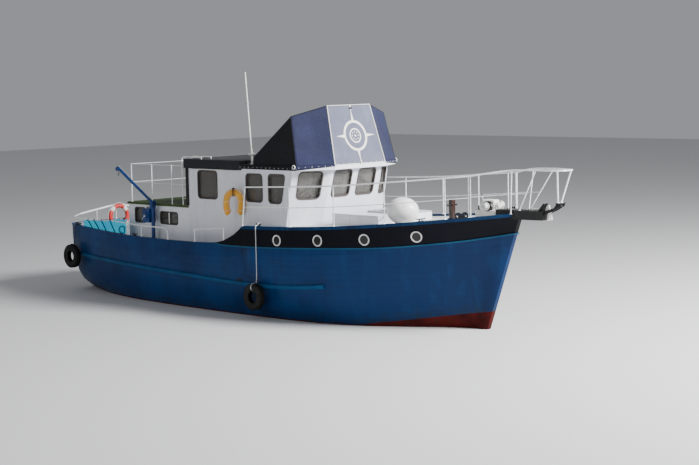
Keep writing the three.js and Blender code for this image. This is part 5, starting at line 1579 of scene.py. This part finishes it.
def makeSamsonPost():
    form = bmesh.new()
    deck = topOf("foredeck", 5.59, 0)
    addBlock(form, (5.531, -0.059, deck - 0.01), (5.649, 0.059, 3.018), 0.014, 0, 3)
    addBlock(form, (5.515, -0.075, deck - 0.012), (5.665, 0.075, deck + 0.035), 0.008, 1)
    addBar(form, (5.59, -0.17, 2.89), (5.59, 0.17, 2.89), 0.021, 1, 20, edge=0.006)
    settle("samson_post_timber", form, ["timber", "iron"], stands=["samson_post"])


# Half breadths at the rail, for what stands on the cappings
hullHalf = (
    (-7.35, 1.776), (-6.7, 1.903), (-5.09, 2.105), (-3.71, 2.183), (-2.53, 2.216), (-0.64, 2.225),
    (0.5, 2.216), (1.5, 2.197), (2.5, 2.154), (3.5, 2.062), (4.5, 1.892), (5.5, 1.623), (6.00, 1.434),
    (6.5, 1.175), (6.9, 0.919), (7.32, 0.586),
)


def capMiddle(node, x, sign):
    # The middle of a capping's top at one place along the ship
    hits = []
    for step in range(-14, 12):
        start = xyz(x, sign * (onLine(hullHalf, x) + step * 0.01), 5)
        place = skinOf(node).ray_cast(start, xyz(0, 0, -1))[0]
        if place is not None and place.z > 1.7:
            hits.append(place)
    if not hits:
        raise ValueError("no capping at " + str(x))
    return hits[len(hits) // 2]


def addCleat(form, x, sign, long, node):
    # A two-horned cleat on the capping, in line with the ship's side
    spots = [capMiddle(node, at, sign) for at in (x - 0.1, x, x + 0.1)]
    place = basis(spots[1], spots[2] - spots[0], (0, 0, 1))
    addBlock(form, (-long * 0.3, -0.004, -0.028), (long * 0.3, 0.012, 0.028), 0.004, 0, 2, place)
    for way in (-long, long):
        addBar(form, place @ xyz(way * 0.14, 0.005, 0), place @ xyz(way * 0.12, 0.05, 0), 0.014)
    horn = [(share * long, lift, 0) for share, lift in (
        (-0.5, 0.068), (-0.3, 0.056), (0, 0.052), (0.3, 0.056), (0.5, 0.068))]
    swell = [0.5, 0.75, 0.95, 1, 1, 1, 1, 1, 1, 0.95, 0.85, 0.75, 0.5]
    addPipe(form, [place @ p for p in curved(horn, 3)], 0.015, swell=swell)


def makeDeckFittings():
    form = bmesh.new()
    for sign in (-1, 1):
        addCleat(form, 5.85, sign, 0.26, "foredeck_capping")
        addCleat(form, -4.0, sign, 0.24, "bulwark_capping")
        addCleat(form, -7.0, sign, 0.24, "bulwark_capping")
        # Black roller fairlead on the capping by the bow
        place, ahead = (capMiddle("foredeck_capping", x, sign) for x in (6.71, 6.79))
        chock = basis(place, ahead - place, (0, 0, 1))
        addBlock(form, (-0.15, -0.006, -0.045), (0.15, 0.022, 0.045), 0.006, 0, 2, chock)
        addBlock(form, (-0.085, 0.0, -0.03), (0.085, 0.075, 0.03), 0.018, 0, 3, chock)
        for way in (-1, 1):
            horn = [(way * out, lift, 0) for out, lift in (
                (0.125, 0.015), (0.14, 0.075), (0.1, 0.112), (0.03, 0.108))]
            addPipe(form, [chock @ Vector(point) for point in curved(horn, 5)], 0.021)
            addBar(form, chock @ xyz(way * 0.05, 0.015, 0), chock @ xyz(way * 0.05, 0.085, 0), 0.024)
    settle("deck_fittings", form, ["black"])


makeWindlass()
makeChain()
makeAnchor()
makeSamsonPost()
makeDeckFittings()
print("deck gear made")

# Derrick: its solids smoothed, with the winch's crank, the wire, the sheaves and the hook
derrickShape = {
    "foot": (-3.45, -1.935), "pin": 2.69, "tip": (-1.52, 0.92), "wire": 0.0045, "turns": 9,
    "bands": (0.5632, 1.0912, 1.584),
    "hook": ((0, -0.055), (0, -0.085), (0.024, -0.105), (0.028, -0.135), (0.0, -0.158), (-0.03, -0.14),
             (-0.034, -0.115)),
}


def makeDerrick():
    for node, body in (("derrick_socket", vessel), ("derrick_post",) * 2, ("derrick_boom",) * 2):
        smoothCopy(node, node + "_smooth", "derrick", 35, body)
    d = derrickShape
    x, y = d["foot"]
    form = bmesh.new()
    for at in rounds(6, 15):
        spot = xyz(x, y, 0) + onCircle(at, 0.098, 1.07)
        addBar(form, spot, spot + xyz(0, 0, 0.014), 0.011, 0, 6)
    for z in (1.7, 1.745):
        addRing(form, (x, y, z), (0, 0, 1), 0.078, 0.007, 0, 32, 8)
    settle("derrick_socket_bolts", form, ["galvanised"])
    form = bmesh.new()
    axle = xyz(x - 0.18, y, 2.34)
    # Crank outboard, gear cover bolts, wire turns on the drum above the case
    addBar(form, axle + xyz(0, -0.15, 0), axle + xyz(0, -0.162, 0), 0.03, 0, 24, edge=0.003)
    crank = axle + xyz(0, -0.158, 0)
    addPipe(form, [crank, crank + xyz(-0.1, -0.004, -0.1), crank + xyz(-0.14, -0.004, -0.13)], 0.009)
    addBar(form, crank + xyz(-0.14, 0, -0.13), crank + xyz(-0.14, -0.095, -0.13), 0.014, 1, 20, edge=0.004)
    for at in rounds(5):
        spot = axle + xyz(0.07 * cos(at), -0.149, 0.07 * sin(at))
        addBar(form, spot, spot + xyz(0, -0.007, 0), 0.007, 0, 6)
    for spot in ((-0.3, 2.18), (-0.06, 2.18), (-0.3, 2.51), (-0.06, 2.51)):
        start = xyz(x + spot[0], y - 0.109, spot[1])
        addBar(form, start, start + xyz(0, -0.007, 0), 0.008, 0, 6)
    for turn in range(d["turns"]):
        addRing(form, (x - 0.18, y - 0.04 + turn * 0.01, 2.535), (0, 1, 0), 0.05, 0.005, 0, 28, 6)
    lead = [(x - 0.15, y, 2.578), (x - 0.115, y, 2.6), (x - 0.045, y, 2.606)]
    addPipe(form, curved(lead, 5), d["wire"])
    addBlock(form, (x - 0.078, y - 0.016, 2.59), (x - 0.04, y + 0.016, 2.622), 0.003)
    settle("derrick_winch_gear", form, ["galvanised", "black"], "derrick_post")
    form = bmesh.new()
    pin = xyz(x, y, d["pin"])
    tip = pin + xyz(d["tip"][0], 0, d["tip"][1])
    along = (tip - pin).normalized()
    above = xyz(along.z, 0, -along.x)
    above *= 1 if above.z > 0 else -1
    sheave, head = pin + along * 0.16 + above * 0.06, tip - along * 0.04 + above * 0.052
    for spot in (sheave, head):
        addRing(form, spot, (0, 1, 0), 0.026, 0.007, 0, 24, 8)
        addBar(form, spot - xyz(0, 0.02, 0), spot + xyz(0, 0.02, 0), 0.008, 0, 12)
        addBlock(form, spot - xyz(0.014, 0.017, 0.05), spot + xyz(0.014, -0.012, 0.012), 0.002, 1)
        addBlock(form, spot + xyz(-0.014, 0.012, -0.05), spot + xyz(0.014, 0.017, 0.012), 0.002, 1)
    addPipe(form, [sheave + above * 0.03, head + above * 0.03], d["wire"])
    drop = [head + above * 0.03, head + along * 0.028 + above * 0.012, head + along * 0.03 + xyz(0, 0, -0.06),
            head + along * 0.03 + xyz(0, 0, -0.1)]
    addPipe(form, curved(drop, 6), d["wire"])
    eye = drop[-1]
    addBar(form, eye + xyz(0, 0, 0.02), eye - xyz(0, 0, 0.025), 0.009, 0, 16)
    addRing(form, eye - xyz(0, 0, 0.04), (0, 1, 0), 0.016, 0.005, 0, 20, 8)
    route = curved([eye + xyz(shift, 0, lift) for shift, lift in d["hook"]], 5)
    swell = [1.0 - 0.55 * max(0.0, step / (len(route) - 1) - 0.6) / 0.4 for step in range(len(route))]
    addPipe(form, route, 0.0085, 1, swell=swell)
    for reach in d["bands"]:
        addRing(form, pin + along * reach, along, 0.0385, 0.004, 1, 28, 6)
    settle("derrick_boom_gear", form, ["galvanised", "iron"], "derrick_boom")


# Lights, aerial mount and other fittings about the wheelhouse
def makeHouseFittings():
    form = bmesh.new()
    for sign in (-1, 1):
        centre = xyz(2.035, sign * 1.826, 3.792)
        addRing(form, centre, (0, 1, 0), 0.044, 0.013, 0, 32, 10)
        # The lamps' lenses take the near-black glass, painted shade of their unlit insides
        addBall(form, centre, 0.038, 1, 20, 12, (1, 0.35, 1))
        addBar(form, centre - xyz(0, sign * 0.014, 0), centre + xyz(0, sign * 0.004, 0), 0.05, 0, 28)
    # The aerial's ratchet mount
    foot = xyz(0.14, -1.5, 3.802)
    addBar(form, foot, foot + xyz(0, 0, 0.016), 0.06, 0, 28, edge=0.004)
    for at in rounds(4, 45):
        spot = foot + onCircle(at, 0.044, 0.014)
        addBar(form, spot, spot + xyz(0, 0, 0.008), 0.006, 2, 6)
    knuckle = foot + xyz(0, 0, 0.262)
    addBall(form, knuckle, 0.048, 0, 24, 14)
    addBar(form, knuckle - xyz(0.1, 0, 0.01), knuckle + xyz(0.11, 0, 0.012), 0.018, 0, 16, edge=0.004)
    addBar(form, knuckle - xyz(0.115, 0, 0.012), knuckle - xyz(0.095, 0, 0.01), 0.03, 0, 8, edge=0.004)
    addBar(form, knuckle, knuckle + xyz(-0.011, 0, 0.13), 0.026, 0, 20, 0.017, 0.003)
    addBar(form, (0.098, -1.5, 4.53), (0.09, -1.5, 4.63), 0.019, 0, 16, 0.015, 0.003)
    for share in (0.34, 0.62):
        spot = xyz(0.14, -1.5, 4.05).lerp(xyz(-0.04, -1.5, 6.15), share)
        addBar(form, spot, spot + xyz(-0.004, 0, 0.05), 0.0165, 0, 16)
    addBall(form, (-0.0395, -1.5, 6.14), 0.011, 0, 12, 8)
    # Sill under the first side window, rain gutters over the side windows and corner battens at the aft end
    for sign in (-1, 1):
        near, far = sorted((sign * 1.719, sign * 1.752))
        addBlock(form, (0.12, near, 2.762), (0.73, far, 2.786), 0.006)
        gutter = [(x, sign * 1.728, z) for x, z in ((-2.0, 3.637), (-1.2, 3.646), (-0.2, 3.64))]
        addPipe(form, curved(gutter, 6), 0.012)
        near, far = sorted((sign * 1.716, sign * 1.756))
        # The corner battens are black, painted shade standing for the dark strip of shade at the house's aft
        # corner
        addBlock(form, (-2.25, near, 2.668), (-2.15, far, 3.656), 0.01, 3, 3)
        addPipe(form, [(-0.112, sign * 1.7225, 2.32), (-0.112, sign * 1.7225, 3.66)], 0.008)
    settle("house_fittings", form, ["whiteMetal", "shadeGlass", "galvanised", "black"])
    for node in ("whip_aerial", "roof_ladder"):
        smoothCopy(node, node + "_smooth", "whiteMetal", 40)
    # Non-slip panels on the after house's roof
    form = bmesh.new()
    for aft, fore in ((-2.18, -1.18), (-1.1, -0.14)):
        for near, far in ((-1.7, -0.06), (0.06, 1.7)):
            addBlock(form, (aft, near, 3.898), (fore, far, 3.9035), 0.0015, 0, 1)
    settle("roof_panels", form, ["deckGrip"])


def frameBars(low, high, wide):
    # Four bars round a rectangle
    (x0, y0), (x1, y1) = low, high
    return (((x0, y0), (x1, y0 + wide)), ((x0, y1 - wide), (x1, y1)), ((x0, y0), (x0 + wide, y1)),
            ((x1 - wide, y0), (x1, y1)))


# Companion door: two framed panels, a lever, a lock plate and hinges
def makeDoorFittings():
    form = bmesh.new()
    face = onSkin("companion_door", (-4, 0.05, 3.1), (1, 0, 0))[0].x
    for low, high in (((-0.262, 2.745), (0.262, 3.075)), ((-0.262, 3.135), (0.262, 3.515))):
        for start, end in frameBars(low, high, 0.028):
            addBlock(form, (face - 0.01, *start), (face + 0.002, *end), 0.003)
        start = (face - 0.006, low[0] + 0.07, low[1] + 0.07)
        addBlock(form, start, (face + 0.002, high[0] - 0.07, high[1] - 0.07), 0.004)
    addBlock(form, (face - 0.006, -0.312, 3.04), (face + 0.001, -0.276, 3.2), 0.002, 1)
    addBar(form, (face, -0.294, 3.14), (face - 0.034, -0.294, 3.14), 0.009, 1)
    lever = [(face - 0.034, -0.294, 3.14), (face - 0.038, -0.24, 3.142), (face - 0.034, -0.19, 3.134)]
    addPipe(form, curved(lever, 5), 0.008, 1)
    addBar(form, (face - 0.002, -0.294, 3.08), (face - 0.009, -0.294, 3.08), 0.008, 1)
    for z in (2.8, 3.13, 3.46):
        addBar(form, (face - 0.004, 0.3, z - 0.035), (face - 0.004, 0.3, z + 0.035), 0.006, 1)
        addBlock(form, (face - 0.003, 0.24, z - 0.03), (face + 0.001, 0.296, z + 0.03), 0.001, 1)
    settle("door_fittings", form, ["timber", "bronze"], "companion_door")


# Hatch: a metal frame, a clear panel painted near black as painted shade of the space below, two dogs and
# hinge leaves
def makeHatchFittings():
    form = bmesh.new()
    top = topOf("hatch_lid", 3.4, 0)
    x0, x1, half = 3.104, 3.776, 0.346
    wide = 0.05
    for low, high in frameBars((x0, -half), (x1, half), wide):
        addBlock(form, (*low, top - 0.012), (*high, top + 0.006), 0.004, 0)
    lap = wide - 0.002
    addBlock(form, (x0 + lap, -half + lap, top - 0.01), (x1 - lap, half - lap, top + 0.003), 0.002, 1)
    for y in (-0.2, 0.2):
        handle = [(x0 + 0.12, y + out, top + lift) for out, lift in (
            (-0.05, 0.002), (-0.045, 0.026), (0.045, 0.026), (0.05, 0.002))]
        addPipe(form, curved(handle, 5), 0.006)
        addBlock(form, (x1 - 0.01, y - 0.03, top - 0.006), (x1 + 0.04, y + 0.03, top + 0.006), 0.003)
    settle("hatch_fittings", form, ["galvanised", "shadeGlass"], "hatch_lid")


# Steps to the raised deck: grip strips and dark edges
def makeStepTrim():
    form = bmesh.new()
    for sign in (-1, 1):
        near, far = sorted((sign * 1.79, sign * 2.05))
        for step in range(3):
            x, z = -0.56 + step * 0.33, 1.365 + step * 0.3
            for grip in (x + 0.008, x + 0.09):
                start, end = (grip, near + 0.01, z - 0.001), (grip + 0.052, far - 0.01, z + 0.003)
                addBlock(form, start, end, 0.001, 0, 1)
            addBlock(form, (x - 0.004, near, z - 0.037), (x + 0.004, far, z + 0.004), 0.001, 0, 1)
        for y in (sign * 1.775, sign * 2.065):
            rail = [(-0.64, y, 1.06), (-0.64, y, 1.13), (0.36, y, 2.09), (0.44, y, 2.09)]
            addPipe(form, rail, 0.011)
    settle("step_trim", form, ["black"])


# Scuppers, anodes under water and the propeller
def makeHullFittings():
    form = bmesh.new()
    for sign in (-1, 1):
        for x, z in ((0.337, 0.915), (-3.05, 0.95), (-5.6, 0.97)):
            matrix = outsidePlace("hull", x, z, sign)
            oval = [(0.085 * cos(t) + copysign(0.03, cos(t)), 0.032 * sin(t))
                    for t in rounds(28, 180 / 28)]
            addPlate(form, oval, 0.01, matrix @ moved(0, 0, -0.003), 0, 0.003)
            inner = [(px * 0.78, py * 0.68) for px, py in oval]
            addPlate(form, inner, 0.0055, matrix @ moved(0, 0, 0.003), 1)
        for x, z in ((-4.55, -0.62), (-3.55, -0.62), (2.6, -0.62)):
            place, out = onSkin("hull", (x, sign * 4, z), (0, -sign, 0))
            up = xyz(1, 0, 0).cross(out)
            matrix = basis(place, (out.y, -out.x, 0), up if up.z > 0 else -up)
            addBlock(form, (-0.16, -0.035, -0.006), (0.16, 0.035, 0.03), 0.014, 2, 3, matrix)
            for shift in (-0.11, 0.11):
                addBar(form, matrix @ xyz(shift, 0, 0.026), matrix @ xyz(shift, 0, 0.038), 0.012, 2, 6)
    settle("hull_fittings", form, ["iron", "black", "galvanised"])
    smoothCopy("propeller", "propeller_cast", "bronze", 40, "propeller")


# Steering wheel and compass seen through the windows
def makeHelm():
    form = bmesh.new()
    hub = xyz(1.12, 0, 2.72)
    addRing(form, hub, (1, 0, 0), 0.235, 0.016, 0, 56)
    addBar(form, hub - xyz(0.03, 0, 0), hub + xyz(0.055, 0, 0), 0.042, 1, 28, edge=0.006)
    for at in rounds(6):
        way = xyz(0, cos(at), sin(at))
        addBar(form, hub + way * 0.035, hub + way * 0.235, 0.011, 0, 14)
        addBar(form, hub + way * 0.245, hub + way * 0.345, 0.011, 0, 14, 0.016, 0.003)
        addBall(form, hub + way * 0.347, 0.0165, 0, 14, 8)
    compass = [(0, 0), (0.085, 0), (0.085, 0.03), (0.07, 0.05), (0.066, 0.08), (0.05, 0.115), (0, 0.13)]
    addTurned(form, compass, moved(1.27, 0.0, 3.014), 2, 36)
    addBlock(form, (1.1, -0.42, 2.86), (1.168, -0.3, 2.98), 0.006, 2)
    for lever in (-0.385, -0.335):
        addBar(form, (1.135, lever, 2.98), (1.1, lever, 3.1), 0.006, 1)
        addBall(form, (1.098, lever, 3.108), 0.014, 3)
    settle("helm_gear", form, ["timber", "bronze", "black", "orange"])


makeDerrick()
makeHouseFittings()
makeDoorFittings()
makeHatchFittings()
makeStepTrim()
makeHullFittings()
makeHelm()
print("fittings made")

# Stage: a pale floor at the waterline, soft light with the key from ahead
stage = {"floor": (206, 206, 206), "floorSize": 90, "world": 0.36, "keyPower": 30000, "fillPower": 1500}


def makeStage():
    form = bmesh.new()
    bmesh.ops.create_grid(form, x_segments=1, y_segments=1, size=stage["floorSize"])
    floor = placed("floor", meshOf("floor", form))
    paint = Shading("floor")
    paint.put({"Base Color": stage["floor"], "Roughness": 0.7})
    floor.data.materials.append(paint.material)
    world = bpy.data.worlds.new("studio")
    world.use_nodes = True
    back = world.node_tree.nodes["Background"]
    back.inputs["Color"].default_value = tint((236, 240, 246))
    back.inputs["Strength"].default_value = stage["world"]
    bpy.context.scene.world = world
    for name, place, target, size, power in (
        ("key", (27, 7, 19), (0, 0, 2), 8, stage["keyPower"]),
        ("fill", (4, -34, 12), (0, 0, 2), 16, stage["fillPower"]),
    ):
        data = bpy.data.lights.new(name, "AREA")
        data.energy, data.size = power, size
        lamp, aim = placed(name, data), Vector(target) - Vector(place)
        lamp.matrix_world = Matrix.Translation(place) @ aim.to_track_quat("-Z", "Y").to_matrix().to_4x4()


makeStage()
